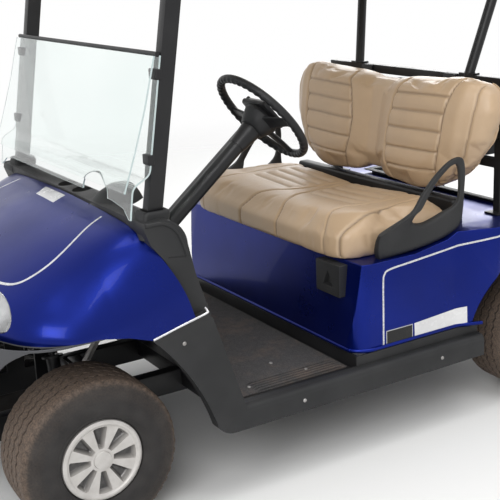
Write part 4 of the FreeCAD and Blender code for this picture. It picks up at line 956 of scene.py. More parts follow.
def add_lamp_pieces(tree):
    """Headlamp lenses on the cowl's own surface, with a reflector bowl behind each."""
    middle = Vector(LAMP_MIDDLE)
    lens, bowl = [], []
    rim = lamp_outline(-0.0012)
    for i in range(LAMP_RINGS + 1):
        share = i / LAMP_RINGS
        for point in rim:
            near = middle.lerp(point, max(share, 0.01))
            hit = tree.ray_cast(near + LAMP_WAY * 0.6, -LAMP_WAY)[0]
            front = hit if hit else near + LAMP_WAY * 0.1
            lens.append(front - LAMP_WAY * 0.0005)
            bowl.append(front - LAMP_WAY * (0.006 + 0.044 * (1 - share ** 2.4)))
    faces = grid_faces(LAMP_RINGS + 1, len(rim), wrap_columns=True)
    for side, name in SIDES:
        outward = Vector((LAMP_WAY.x, LAMP_WAY.y * side, 0.0))
        glass = add_mesh("headlamp_lens_" + name, [(p.x, p.y * side, p.z) for p in lens], faces,
                         FINISHES["lens"])
        shade(thicken(turn_out(glass, outward), 0.003))
        cup = add_mesh("headlamp_bowl_" + name, [(p.x, p.y * side, p.z) for p in bowl], faces,
                       FINISHES["chrome"])
        shade(thicken(turn_out(cup, outward), 0.002))
        if side > 0:
            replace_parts(glass, "headlights")


def drop(tree, point, way, rise):
    """Point a little above the place where a line through a point meets a skin from outside."""
    hit, normal = tree.ray_cast(point - way * 0.3, way, 0.6)[:2]
    if hit is None:
        raise RuntimeError("a stripe or label misses its skin")
    return hit + (normal if normal.dot(way) < 0 else -normal) * rise


def add_band(name, tree, path, width, cast, finish, rise=0.0007):
    """Thin stripe laid on a skin along a path of points."""
    path = [Vector(p) for p in path]
    way = Vector(cast).normalized()
    rows = []
    for i, point in enumerate(path):
        across = run_at(path, i).cross(way).normalized() * (width / 2)
        rows.append([drop(tree, point + across * share, way, rise) for share in (-1.0, -0.5, 0.0, 0.5, 1.0)])
    return shade(thicken(turn_out(add_grid(name, np.array(rows), finish), -way), rise * 2))


def add_label(name, tree, corners, cast, finish, rise=0.0008):
    """Blank sheet laid on a skin between four corners."""
    a, b, c, d = [Vector(p) for p in corners]
    way = Vector(cast).normalized()
    steps = np.linspace(0, 1, 11)
    rows = [[drop(tree, a.lerp(b, v).lerp(d.lerp(c, v), u), way, rise) for v in steps] for u in steps]
    return shade(thicken(turn_out(add_grid(name, np.array(rows), finish), -way), rise * 2))


def add_round_head(name, place, out, radius, height, finish):
    """Domed screw head facing outward."""
    out = Vector(out).normalized()
    side = out.cross(Vector((0.3, 0.2, 1.0))).normalized()
    up = out.cross(side)
    rows = []
    for share, rise in ((0.02, 1.0), (0.35, 0.97), (0.62, 0.85), (0.84, 0.62), (0.97, 0.30), (1.0, -0.4)):
        rows.append([Vector(place) + (side * math.cos(a) + up * math.sin(a)) * radius * share
                     + out * height * rise for a in turns(20)])
    return turn_out(add_grid(name, np.array(rows), finish, wrap_columns=True), out)


class CART_OT_cowl(bpy.types.Operator):
    """Builds the smooth painted cowl with its headlamps"""
    bl_idname = "cart.cowl"
    bl_label = "Cowl and headlamps"

    def execute(self, context):
        cowl = turn_out(add_grid("cowl_shell", cowl_grid(), FINISHES["paint"]), Vector((0.3, 0.0, 1.0)))
        weld(cowl, 0.0002)
        settle(cowl)
        tree = skin_tree(cowl)
        thicken(cowl, COWL_WALL)
        cutters = []
        for side, _ in SIDES:
            ring = [Vector((p.x, p.y * side, p.z)) for p in lamp_outline(0.0005, 96)][::side]
            cutters.append(add_prism("lamp_cut", ring, (LAMP_WAY.x * 0.4, LAMP_WAY.y * side * 0.4, 0.0),
                                     FINISHES["paint"]))
        carve(cowl, cutters)
        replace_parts(shade(cowl), "cowl")
        add_lamp_pieces(tree)
        TREES["cowl"] = tree
        return {"FINISHED"}


STRUT_Y = 0.500
PANE_HALF = 0.516
PANE_WALL = 0.005
# Side view of the two panes, x and z of the face nearer the seat, from the top down
LOWER_PANE = ((0.5666, 1.287), (0.6196, 0.980), (0.6720, 0.952), (0.6840, 0.868))
UPPER_PANE = ((0.5839, 1.287), (0.6219, 1.150), (0.6579, 1.043), (0.6959, 0.941))


def strut_place(z):
    """Centre of the front strut at a height, along the cart."""
    return 0.621 - (z - 0.841) * math.tan(math.radians(9.8))


def pane_line(rows):
    """Side view of a pane with its bends eased, as points from the top down."""
    points = [Vector((x, 0.0, z)) for x, z in rows]
    line = [points[0]]
    for i in range(1, len(points) - 1):
        near = points[i].lerp(points[i - 1], min(0.5, 0.016 / (points[i] - points[i - 1]).length))
        far = points[i].lerp(points[i + 1], min(0.5, 0.016 / (points[i + 1] - points[i]).length))
        for k in range(7):
            t = k / 6
            line.append(near * (1 - t) ** 2 + points[i] * (2 * t * (1 - t)) + far * t * t)
    line.append(points[-1])
    return line


def add_pane(name, rows, voids, node):
    """Bent acrylic sheet with its sawn edges in their own finish, less the voids, outlines of (y, z)."""
    line = pane_line(rows)
    out = []
    for i, point in enumerate(line):
        run = run_at(line, i)
        out.append(point + Vector((-run.z, 0.0, run.x)).normalized() * PANE_WALL)
    ring = [Vector((p.x, -PANE_HALF, p.z)) for p in line + out[::-1]]
    pane = add_prism(name, ring, (0.0, 2 * PANE_HALF, 0.0), FINISHES["acrylic"])
    if voids:
        carve(pane, [add_prism("pane_cut", [(0.55, y, z) for y, z in outline], (0.25, 0.0, 0.0),
                               FINISHES["acrylic"]) for outline in voids])
    pane.data.materials.clear()
    pane.data.materials.append(FINISHES["acrylic"])
    pane.data.materials.append(FINISHES["edge"])
    middle = [(a + b) / 2 for a, b in zip(line, out)]
    for face in pane.data.polygons:
        gaps = [abs(m.z - face.center.z) for m in middle]
        k = gaps.index(min(gaps))
        run = run_at(middle, k).normalized()
        sawn = abs(face.normal.y) > 0.6 or abs(face.normal.dot(run)) > 0.7
        face.material_index = 1 if sawn else 0
        face.use_smooth = False
    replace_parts(pane, node)


def skirt_voids():
    """Outlines (y, z) cut from the lower pane's skirt: between its two pointed legs and over the column."""
    low, edge = 0.86, 0.902
    between = [(-0.395, edge), (0.395, edge), (0.470, 0.893), (0.508, 0.868), (0.508, low), (-0.508, low),
               (-0.508, 0.868), (-0.470, 0.893)]
    arch = []
    for k in range(25):
        a = math.pi * k / 24
        arch.append((0.280 + 0.086 * math.cos(a), 0.900 + 0.058 * math.sin(a) ** 0.8))
    arch += [(0.194, low - 0.01), (0.366, low - 0.01)]
    return [between, arch]


class CART_OT_windshield(bpy.types.Operator):
    """Builds the two acrylic halves of the windshield, with their clamps on the struts"""
    bl_idname = "cart.windshield"
    bl_label = "Windshield"

    def execute(self, context):
        add_pane("windshield_lower_sheet", LOWER_PANE, skirt_voids(), "windshield_lower")
        add_pane("windshield_upper_sheet", UPPER_PANE, [], "windshield_upper")
        path = [(0.5765, y, 1.2915) for y in np.linspace(-PANE_HALF, PANE_HALF, 12)]
        hinge = add_tube("windshield_hinge", path, 0.0065, FINISHES["metal"], 16)
        shade(hinge)
        for side, name in SIDES:
            for place, z in (("low", 1.02), ("high", 1.24)):
                x, y = strut_place(z), side * STRUT_Y
                clip = add_box("pane_clip_" + place + "_" + name, (x + 0.016, y - 0.019, z - 0.014),
                               (x + 0.034, y + 0.019, z + 0.014), FINISHES["metal"])
                round_edges(clip, 0.003)
        return {"FINISHED"}


WHEEL_CENTRE = Vector((0.114, 0.270, 1.048))
WHEEL_LEAN = math.radians(39.5)
WHEEL_AXIS = Vector((math.cos(WHEEL_LEAN), 0.0, -math.sin(WHEEL_LEAN)))
WHEEL_UP = Vector((math.sin(WHEEL_LEAN), 0.0, math.cos(WHEEL_LEAN)))
WHEEL_BODY = "steering_wheel"
WHEEL_REACH = 0.162
GRIP_COUNT = 44


def wheel_point(across, up, out):
    """Point by its place on the steering wheel: to the left, up the wheel, and out toward the driver."""
    return WHEEL_CENTRE + Vector((0.0, across, 0.0)) + WHEEL_UP * up - WHEEL_AXIS * out


def add_plate(name, outline, out_from, out_to, finish, radius):
    """Flat piece on the steering wheel's face with rounded corners."""
    ring = [wheel_point(a, b, out_from) for a, b in outline]
    plate = add_prism(name, ring, -WHEEL_AXIS * (out_to - out_from), finish, WHEEL_BODY)
    round_edges(plate, radius, 4)


def wheel_rim():
    """Steering-wheel rim with finger grips moulded round its back."""
    count, sides = 288, 20
    grid = np.zeros((count, sides, 3))
    for i, turn in enumerate(turns(count)):
        for k, a in enumerate(turns(sides)):
            back = max(0.0, -math.sin(a))
            thick = 0.0128 + 0.0011 * back * math.cos(turn * GRIP_COUNT)
            reach = WHEEL_REACH + thick * math.cos(a)
            grid[i, k] = wheel_point(reach * math.sin(turn), reach * math.cos(turn), thick * math.sin(a))
    return turn_out(add_grid("steering_wheel_rim", grid, FINISHES["grip"], WHEEL_BODY,
                             wrap_rows=True, wrap_columns=True))


def wheel_spoke(name, angle):
    """Spoke that narrows from the hub to the rim and dishes down to the hub."""
    rings = []
    turn = math.radians(angle)
    across = (math.sin(turn), math.cos(turn))
    for i in range(11):
        share = i / 10
        reach = 0.030 + share * 0.126
        half = 0.026 - 0.011 * float(soft_step(0.0, 1.0, share)) + 0.006 * max(0.0, share - 0.8) / 0.2
        out = -0.021 * (1 - share) ** 1.4
        ring = []
        for a in turns(16):
            wide = half * math.copysign(abs(math.cos(a)) ** 0.6, math.cos(a))
            deep = 0.0062 * math.copysign(abs(math.sin(a)) ** 0.8, math.sin(a))
            ring.append(wheel_point(across[0] * reach + across[1] * wide,
                                    across[1] * reach - across[0] * wide, out + deep))
        rings.append(ring)
    return shade(add_capped(name, rings, FINISHES["grip"], WHEEL_BODY))


class CART_OT_steering(bpy.types.Operator):
    """Builds the steering wheel with its rim, spokes, pad, score card plate and clip"""
    bl_idname = "cart.steering"
    bl_label = "Steering wheel"

    def execute(self, context):
        rim = wheel_rim()
        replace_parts(rim, "steering_wheel")
        for name, angle in (("left", 90), ("right", -90), ("low", 180)):
            wheel_spoke("steering_spoke_" + name, angle)
        rings = []
        for out, radius in ((0.004, 0.030), (0.004, 0.050), (0.000, 0.056), (-0.010, 0.058), (-0.030, 0.050),
                            (-0.050, 0.041), (-0.0535, 0.036)):
            rings.append([wheel_point(radius * math.sin(a), radius * math.cos(a), out) for a in turns(40)])
        hub = shade(add_capped("steering_hub", rings, FINISHES["grip"], WHEEL_BODY))
        pad = [(-0.060, -0.046), (0.060, -0.046), (0.074, -0.018), (0.068, 0.052), (0.056, 0.060),
               (-0.056, 0.060), (-0.068, 0.052), (-0.074, -0.018)]
        card = [(-0.047, -0.034), (0.047, -0.034), (0.043, 0.040), (-0.043, 0.040)]
        add_plate("steering_pad", pad, 0.002, 0.0165, FINISHES["grip"], 0.0055)
        add_plate("score_card_plate", card, 0.0160, 0.0195, FINISHES["plastic"], 0.0014)
        path = [wheel_point(y, 0.047, 0.0205) for y in np.linspace(-0.047, 0.047, 10)]
        bar = add_tube("score_card_clip", path, 0.0062, FINISHES["clip"], 16, WHEEL_BODY, up=WHEEL_UP)
        shade(bar)
        for side, name in SIDES:
            y = side * 0.050
            post = [(y - 0.005, 0.038), (y + 0.005, 0.038), (y + 0.005, 0.056), (y - 0.005, 0.056)]
            add_plate("clip_post_" + name, post, 0.0150, 0.0270, FINISHES["grip"], 0.0018)
        return {"FINISHED"}


# The socket's walls from the outside over its mouth and down inside: growth past the strut, and height
SOCKET_PROFILE = ((0.0175, 0.812), (0.0175, 0.876), (0.0165, 0.8805), (0.0140, 0.8840), (0.0100, 0.8855),
                  (0.0075, 0.8840), (0.0018, 0.8740), (0.0012, 0.812))


def add_collar(name, side):
    """Socket with a bevelled mouth that the front strut stands in."""
    rows = []
    for grow, z in SOCKET_PROFILE:
        half_x, half_y, corner = 0.022 + grow, 0.016 + grow, 0.003 + grow * 0.45
        ring = []
        for k, (sx, sy) in enumerate(((1, 1), (-1, 1), (-1, -1), (1, -1))):
            for j in range(6):
                a = math.pi / 2 * (k + j / 5)
                ring.append((strut_place(z) + sx * (half_x - corner) + corner * math.cos(a),
                             side * STRUT_Y + sy * (half_y - corner) + corner * math.sin(a), z))
        rows.append(ring)
    return shade(turn_out(add_grid(name, np.array(rows), FINISHES["plastic"],
                                   wrap_rows=True, wrap_columns=True)))


# The plane outside the body's sides that lines and labels are dropped from
SIDE_OUT = 0.56
# The bead round the dash's cheek, and the two ends of the seam below it, as (x, z)
DASH_EDGE = ((0.6600, 0.8640), (0.6330, 0.8655), (0.6100, 0.8635), (0.5860, 0.8520), (0.5680, 0.8330),
             (0.5560, 0.8080), (0.5480, 0.7850), (0.5430, 0.7650))
DASH_SEAM = ((0.606, 0.7620), (0.5525, 0.7560))
DASH_CHEEK = 0.5565
# The floor mat's face and half width, and the ridges along each side of it
MAT_Z = 0.2762
MAT_HALF = 0.5085
MAT_RIDGES = 5
MAT_RIDGE_START = 0.430
MAT_RIDGE_PITCH = 0.0150
MAT_RIDGE_HEIGHT = 0.0036
MAT_WALL = 0.0036
MAT_STUDS = ((0.318, 0.462), (0.105, 0.452), (0.165, 0.345))
# Each pedal's name, right and left edges, and the foot and height of its pad
PEDALS = (("brake", 0.300, 0.372, 0.380, 0.096), ("accelerator", 0.150, 0.206, 0.330, 0.150))
PEDAL_LEAN = math.radians(18.0)
PEDAL_RIB_PITCH = 0.0135


class CART_OT_cabin(bpy.types.Operator):
    """Builds the floor mat, the strut sockets, the dash's seams and switches, and the pedals' treads"""
    bl_idname = "cart.cabin"
    bl_label = "Cabin"

    def execute(self, context):
        self.floor_mat()
        tree = skin_tree(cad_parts["dash"])
        for side, name in SIDES:
            add_collar("strut_socket_" + name, side)
            cast = (0.0, -float(side), 0.0)
            (front, high), (rear, low) = DASH_SEAM
            seam = [(front - (front - rear) * k / 8, SIDE_OUT * side, high - (high - low) * k / 8)
                    for k in range(9)]
            line = add_band("dash_seam_" + name, tree, seam, 0.0032, cast, FINISHES["plate"], 0.0004)
            path = smooth_path([(x + 0.006, side * DASH_CHEEK, z - 0.006) for x, z in DASH_EDGE], 8)
            bead = add_tube("dash_edge_" + name, path, 0.0085, FINISHES["plastic"], 12, flat=0.8)
            shade(bead)
        self.pedal_treads()
        self.switches()
        return {"FINISHED"}

    def floor_mat(self):
        """Pebbled rubber mat on the floor and up the toe board, ridged lengthwise along each side."""
        line = [(-0.012, MAT_Z)] + [(x, MAT_Z) for x in np.linspace(-0.008, 0.386, 24)]
        line += [(0.3935, 0.2790), (0.3970, 0.2850), (0.4150, 0.3450), (0.4330, 0.4050)]
        across = [0.0, 0.10, 0.20, 0.30, 0.40, 0.428]
        rises = [0.0] * len(across)
        for k in range(MAT_RIDGES):
            start = MAT_RIDGE_START + k * MAT_RIDGE_PITCH
            across += [start, start + 0.0022, start + 0.0085, start + 0.0107]
            rises += [0.0, MAT_RIDGE_HEIGHT, MAT_RIDGE_HEIGHT, 0.0]
        across.append(MAT_HALF)
        rises.append(0.0)
        sides = [(-y, rise) for y, rise in zip(across[:0:-1], rises[:0:-1])] + list(zip(across, rises))
        grid, groove = [], []
        for x, z in line:
            ridge = float(soft_step(0.0, 0.012, x) * soft_step(0.312, 0.300, x))
            grid.append([(x, y, z + rise * ridge) for y, rise in sides])
            # Share of painted shade in the grooves between the side ridges
            groove += [ridge * 0.9 if 0.435 < abs(y) < 0.506 and rise == 0.0 else 0.0 for y, rise in sides]
        mat = turn_out(add_grid("floor_mat", np.array(grid), FINISHES["mat"]), Vector((0.0, 0.0, 1.0)))
        set_level(mat, "groove", groove)
        shade(thicken(mat, MAT_WALL))
        for side, name in SIDES:
            for k, (x, y) in enumerate(MAT_STUDS):
                add_round_head("mat_stud_" + name + "_" + str(k), (x, y * side, MAT_Z + 0.001),
                                       (0, 0, 1), 0.0062, 0.0032, FINISHES["steel"])
        return mat

    def pedal_treads(self):
        """Ribbed rubber pads on the faces of the two pedals."""
        rise, run = math.cos(PEDAL_LEAN), math.sin(PEDAL_LEAN)
        for name, right, left, foot, tall in PEDALS:
            x = 0.402 + (foot - 0.272) * 0.30 - 0.046
            for k in range(int(tall / PEDAL_RIB_PITCH)):
                low = 0.006 + k * PEDAL_RIB_PITCH
                rows = []
                for up, out in ((low, 0.0045), (low + 0.0012, 0.0082), (low + 0.0065, 0.0082),
                                (low + 0.0077, 0.0045)):
                    rows.append((x + up * run - out * rise, right + 0.004, foot + up * rise + out * run))
                add_prism("pedal_rib_" + name + "_" + str(k), rows, (0.0, left - right - 0.008, 0.0),
                                  FINISHES["grip"])

    def switches(self):
        """Key switch and direction rocker on the dash, right of the column."""
        for k, (radius, out) in enumerate(((0.017, 0.0035), (0.0115, 0.0075))):
            place = (0.5335 - out, 0.165, 0.742)
            add_round_head("key_switch_" + str(k), place, (-1.0, 0.0, 0.22), radius, 0.004,
                                   FINISHES["steel" if k else "grip"])
        key = add_box("key_blade", (0.505, 0.1638, 0.738), (0.529, 0.1662, 0.750), FINISHES["steel"])
        round_edges(key, 0.0008)
        rocker = add_box("direction_rocker", (0.5180, 0.128, 0.690), (0.5290, 0.146, 0.722), FINISHES["grip"])
        round_edges(rocker, 0.003)


# On the hood, as (x, y); the stripe's left half only
HOOD_STRIPE = ((0.690, 0.3290), (0.732, 0.3414), (0.8056, 0.3706), (0.870, 0.3835), (0.928, 0.380),
               (0.964, 0.362), (0.986, 0.322), (1.000, 0.260), (1.014, 0.160), (1.020, 0.060))
HOOD_LABEL = ((0.7258, -0.087), (0.6840, -0.112), (0.6840, 0.048), (0.7285, 0.060))
# On the body's sides, as (x, z)
SIDE_STRIPE = ((-0.1262, 0.327), (-0.1262, 0.440), (-0.1262, 0.535), (-0.131, 0.562), (-0.153, 0.575),
               (-0.250, 0.5835), (-0.385, 0.595), (-0.500, 0.607), (-0.606, 0.618), (-0.800, 0.6235),
               (-1.030, 0.6235))
SIDE_LABEL = ((-0.2510, 0.3755), (-0.4640, 0.3885), (-0.4660, 0.3235), (-0.2530, 0.3215))
NUMBER_PLATE = ((-0.2440, 0.3235), (-0.1370, 0.3755))
SIDE_SCREWS = ((0.5875, 0.5205), (-0.3393, 0.2456), (0.200, 0.2456))
# The line over the left flare, and the left half of the lip round the seat base's foot
FLARE_LINE = ((0.6790, 0.5856, 0.5520), (0.5980, 0.5856, 0.5725), (0.5180, 0.5856, 0.5915),
              (0.5100, 0.5830, 0.5965), (0.5110, 0.5730, 0.6040))
BASE_BEAD = ((-0.515, 0.5800), (-0.470, 0.5640), (-0.430, 0.5512), (-0.300, 0.5504), (-0.120, 0.5504),
             (-0.083, 0.5500), (-0.058, 0.5420), (-0.038, 0.5290), (-0.026, 0.5120), (-0.0205, 0.4880),
             (-0.0205, 0.3000))
BASE_BEAD_Z = 0.3262


def both_halves(half, z):
    """A path's left half and its mirror image, as points at one height."""
    return [(x, y, z) for x, y in half] + [(x, -y, z) for x, y in half[::-1]]


class CART_OT_trim(bpy.types.Operator):
    """Lays the silver stripes, the blank labels and plate, the beads and the screws on the body"""
    bl_idname = "cart.trim"
    bl_label = "Stripes, labels and screws"

    def execute(self, context):
        self.hood(TREES["cowl"])
        body = skin_tree(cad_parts["rear_body"])
        for side, name in SIDES:
            self.side(body, side, name)
        self.base_bead()
        return {"FINISHED"}

    def hood(self, tree):
        """Stripe round the hood and the blank sheet near its rear edge."""
        path = smooth_path(both_halves(HOOD_STRIPE, 0.8), 10)
        stripe = add_band("hood_stripe", tree, path, 0.0068, DOWN, FINISHES["stripe"])
        corners = [(x, y, 0.84) for x, y in HOOD_LABEL]
        sheet = add_label("hood_label", tree, corners, DOWN, FINISHES["label"])

    def side(self, body, side, name):
        """Stripe, blank label and plate on one side of the body, and the silver line over the flare."""
        cast = (0.0, -float(side), 0.0)
        out = SIDE_OUT * side
        path = smooth_path([(x, out, z) for x, z in SIDE_STRIPE], 10)
        stripe = add_band("side_stripe_" + name, body, path, 0.0060, cast, FINISHES["stripe"])
        sheet = [(x, out, z) for x, z in SIDE_LABEL]
        add_label("side_label_" + name, body, sheet, cast, FINISHES["label"])
        (rear, low), (front, high) = NUMBER_PLATE
        for piece, gap, finish, rise in (("number_plate_rim_", 0.0, "silver", 0.0008),
                                         ("number_plate_", 0.0028, "plate", 0.0014)):
            plate = [(front - gap, out, high - gap), (rear + gap, out, high - gap),
                     (rear + gap, out, low + gap), (front - gap, out, low + gap)]
            add_label(piece + name, body, plate, cast, FINISHES[finish], rise)
        path = smooth_path([(x, y * side, z) for x, y, z in FLARE_LINE], 8)
        line = add_tube("flare_line_" + name, path, 0.0030, FINISHES["stripe"], 10)
        shade(line)
        for k, (x, z) in enumerate(SIDE_SCREWS):
            add_round_head("side_screw_" + name + "_" + str(k), (x, 0.5850 * side, z),
                                   (0, side, 0), 0.0062, 0.0028, FINISHES["steel"])

    def base_bead(self):
        """Rolled lip along the foot of the painted seat base."""
        path = smooth_path(both_halves(BASE_BEAD, BASE_BEAD_Z), 8)
        bead = add_tube("base_bead", path, 0.0062, FINISHES["paint"], 12)
        shade(bead)


SEAT_LEAN = math.tan(math.radians(11.0))
SEAT_FRONT = Vector((-0.500, 0.0, 0.732))
VOXEL = 0.0085
CLOTH_STEPS = 20
CLOTH = {"quality": 5, "mass": 0.35, "tension_stiffness": 18, "compression_stiffness": 18,
         "bending_stiffness": 1.5, "use_pressure": True, "uniform_pressure_force": 4.0}
BACK_HALF = 0.542
BACK_FOOT = 0.727
BACK_TOP = 1.108
BACK_DEPTH = 0.107
# Half widths by height: the pad from its foot up, then its seams from the ground up
BACK_REACH = ((0.000, 0.022, 0.070, 0.120, 0.170, 0.215, 0.270, 0.320, 0.345, 0.370),
              (0.335, 0.368, 0.432, 0.482, 0.515, 0.534, 0.542, 0.536, 0.522, 0.490))
BACK_INNER = ((0.730, 0.775, 0.860, 0.930, 1.030, 1.087, 1.110),
              (0.140, 0.124, 0.106, 0.104, 0.124, 0.150, 0.165))
BACK_OUTER = ((0.730, 0.800, 0.900, 0.990, 1.080, 1.110),
              (0.345, 0.362, 0.380, 0.383, 0.402, 0.415))
BACK_BOLSTER = ((0.730, 0.790, 0.864, 0.920, 1.030, 1.093, 1.110),
                (0.350, 0.412, 0.462, 0.480, 0.492, 0.486, 0.470))
BACK_CHANNELS = (0.801, 0.864, 0.930, 0.990, 1.047)
CUSHION_LOW = (-0.4885, -0.4860, 0.5600)
CUSHION_HIGH = (-0.0160, 0.4860, 0.7330)
CUSHION_BED = 0.6062
SEAT_RAIL = ((-0.545, -0.452, 0.606), (-0.4975, 0.452, 0.7195))
# Half widths of the cushion's seams by their place along the cart
CUSHION_INNER = ((-0.480, -0.270, -0.170, -0.095, -0.055, -0.025),
                 (0.018, 0.022, 0.042, 0.078, 0.100, 0.114))
CUSHION_PANEL = ((-0.480, -0.370, -0.250, -0.155, -0.095, -0.055, -0.025),
                 (0.333, 0.350, 0.347, 0.334, 0.340, 0.362, 0.384))
CUSHION_OUTER = ((-0.480, -0.380, -0.310, -0.220, -0.160, -0.095, -0.055, -0.020),
                 (0.390, 0.399, 0.405, 0.424, 0.436, 0.446, 0.448, 0.446))
CUSHION_CHANNELS = (0.200, 0.255, 0.310, 0.365, 0.420)


def superellipsoid(centre, half, power, steps=40):
    """Rounded block as points of shape (rings, steps, 3) with poles top and bottom."""
    def bend(value):
        return math.copysign(abs(value) ** (2 / power), value)
    rings = []
    for i in range(steps // 2 + 1):
        up = -math.pi / 2 + math.pi * i / (steps // 2)
        ring = []
        for turn in turns(steps):
            ring.append((centre[0] + half[0] * bend(math.cos(up)) * bend(math.cos(turn)),
                         centre[1] + half[1] * bend(math.cos(up)) * bend(math.sin(turn)),
                         centre[2] + half[2] * bend(math.sin(up))))
        rings.append(ring)
    return np.array(rings)


def add_pad(name, blocks, shape):
    """One closed pad from several rounded blocks, each bent by the shape function and then joined."""
    points, faces = [], []
    for block in blocks:
        rings, steps = block.shape[:2]
        faces += grid_faces(rings, steps, wrap_columns=True, start=len(points))
        points += [tuple(shape(*p)) for p in block.reshape(-1, 3)]
    pad = add_mesh(name, points, faces, FINISHES["vinyl"])
    weld(pad, 0.0005)
    settle(pad)
    remesh = pad.modifiers.new("Remesh", "REMESH")
    remesh.mode = "VOXEL"
    remesh.voxel_size = VOXEL
    settle(pad)
    even = pad.modifiers.new("Even", "SMOOTH")
    even.iterations = 4
    settle(pad)
    return pad


def fit_box(points, low, high):
    """Stretches points to fill a box."""
    first, last = points.min(axis=0), points.max(axis=0)
    return np.array(low) + (points - first) / (last - first) * (np.array(high) - np.array(low))


def swell(pad, cap, keep):
    """Fills a pad by cloth pressure, no point moving further than the cap, then divides it once.

    keep puts the points back into the pad's own space.
    """
    start = vertex_array(pad.data)
    cloth = pad.modifiers.new("Cloth", "CLOTH")
    for key, value in CLOTH.items():
        setattr(cloth.settings, key, value)
    cloth.settings.effector_weights.gravity = 0
    scene = bpy.context.scene
    for step in range(CLOTH_STEPS):
        scene.frame_set(step + 1)
    graph = bpy.context.evaluated_depsgraph_get()
    move = vertex_array(pad.evaluated_get(graph).to_mesh()) - start
    pad.modifiers.clear()
    scene.frame_set(1)
    size = np.linalg.norm(move, axis=1, keepdims=True)
    put_vertices(pad, start + move * np.minimum(1.0, cap / np.maximum(size, 1e-9)))
    put_vertices(pad, keep(vertex_array(pad.data)))
    divide = pad.modifiers.new("Divide", "SUBSURF")
    divide.levels = 1
    divide.render_levels = 1
    settle(pad)
    pad.data.shade_smooth()


def dent(distance, width):
    """Share of a seam's depth at a distance from it."""
    return np.exp(-(distance / width) ** 2)


def sew_channels(place, lines, width, mask, sway=0.0):
    """Shares of the depth of parallel channels, and of the swelling between them, over a pad."""
    across = np.zeros(len(place))
    for line in lines:
        across = np.maximum(across, dent(place - line - sway, width))
    beat = np.interp(place, lines, range(len(lines)))
    return across * mask, (0.5 - 0.5 * np.cos(beat * 2 * math.pi)) * mask


def back_shape(x, y, z):
    """Leans a point of the upright seat back; x is behind the front plane, z above the bottom."""
    return (SEAT_FRONT.x + x - z * SEAT_LEAN, y, SEAT_FRONT.z + z)


def back_reach(z):
    """Half width of the seat back at a height above its foot, in metres."""
    return np.interp(z, *BACK_REACH)


def seat_back_pad():
    """The seat back: two full lobes on one board, each narrower toward its foot."""
    board = superellipsoid((-0.057, 0.0, 0.187), (0.043, 0.460, 0.162), 5.5)
    board[..., 1] *= back_reach(board[..., 2]) / 0.560
    blocks = [board]
    for side, _ in SIDES:
        lobe = superellipsoid((-0.040, 0.0, 0.187), (0.058, 1.0, 0.182), 4.6)
        share = (lobe[..., 1] + 1.0) / 2
        z = lobe[..., 2] + 0.010 * (0.5 - share) * np.sign(0.187 - lobe[..., 2])
        y = 0.012 + share * (back_reach(z) - 0.012)
        lobe[..., 0] -= 0.022 * soft_step(0.78, 1.0, share) + 0.018 * soft_step(0.26, 0.0, share)
        lobe[..., 2] = z
        lobe[..., 1] = y * side
        blocks.append(lobe if side > 0 else lobe[:, ::-1])
    return add_pad("seat_back_cover", blocks, back_shape)


def keep_back(points):
    """The seat back in the place of its CAD solid, flat against its bracket."""
    points = fit_box(points, (points[:, 0].min(), -BACK_HALF, BACK_FOOT),
                     (points[:, 0].max(), BACK_HALF, BACK_TOP))
    rear = SEAT_FRONT.x - BACK_DEPTH - (points[:, 2] - SEAT_FRONT.z) * SEAT_LEAN
    points[:, 0] = np.maximum(points[:, 0], rear)
    return points


def sew_back(pad):
    """Channels across each lobe between two curved seams, and the seam round its outer bolster."""
    points = vertex_array(pad.data)
    normal = vertex_array(pad.data, "normal")
    y = np.abs(points[:, 1])
    z = points[:, 2]
    facing = soft_step(0.25, 0.6, normal[:, 0])
    round_edge = soft_step(-0.1, 0.35, normal[:, 0])
    inner, outer, bolster = (np.interp(z, *seam) for seam in (BACK_INNER, BACK_OUTER, BACK_BOLSTER))
    seam = np.maximum(dent(y - inner, 0.0045), dent(y - outer, 0.0045)) * round_edge
    side_seam = dent(y - bolster, 0.0040) * round_edge
    inside = soft_step(inner - 0.004, inner + 0.004, y) * soft_step(outer + 0.004, outer - 0.004, y)
    sway = 0.003 * np.sin((y - 0.245) * 12)
    across, puff = sew_channels(z, BACK_CHANNELS, 0.0040, inside * facing, sway)
    whole = dent(y - (inner + outer) / 2, 0.105) * facing
    shift = -0.0075 * seam - 0.0042 * side_seam - 0.0058 * across + 0.0026 * puff + 0.0040 * whole
    shift += 0.0050 * dent(y - (outer + bolster) / 2, 0.024) * facing
    put_vertices(pad, points + normal * shift[:, None])
    # Level for the painted shade along the seams and in the channels across the lobes
    line = np.maximum(dent(y - inner, 0.0024), dent(y - outer, 0.0024)) * round_edge
    line = np.maximum(line, dent(y - bolster, 0.0022) * round_edge * 0.8)
    set_level(pad, "crease", np.clip(np.maximum(line, across * 0.5), 0, 1))


def cushion_pad():
    """The seat cushion: one wide pad with a rolled front."""
    block = superellipsoid((-0.262, 0.0, 0.660), (0.212, 0.462, 0.050), 6.0, 56)
    x, y, z = block[..., 0], block[..., 1], block[..., 2]
    front = soft_step(-0.13, -0.05, x)
    block[..., 2] = z - front * 0.010 * soft_step(0.66, 0.71, z)
    block[..., 2] += 0.008 * np.cos(np.clip(y / 0.47, -1, 1) * math.pi) * -soft_step(0.66, 0.70, z)
    return add_pad("seat_cushion_cover", [block], lambda a, b, c: (a, b, c))


def keep_cushion(points):
    """The cushion in the place of its CAD solid, flat on the seat base."""
    points = fit_box(points, CUSHION_LOW, CUSHION_HIGH)
    points[:, 2] = np.maximum(points[:, 2], CUSHION_BED)
    return points


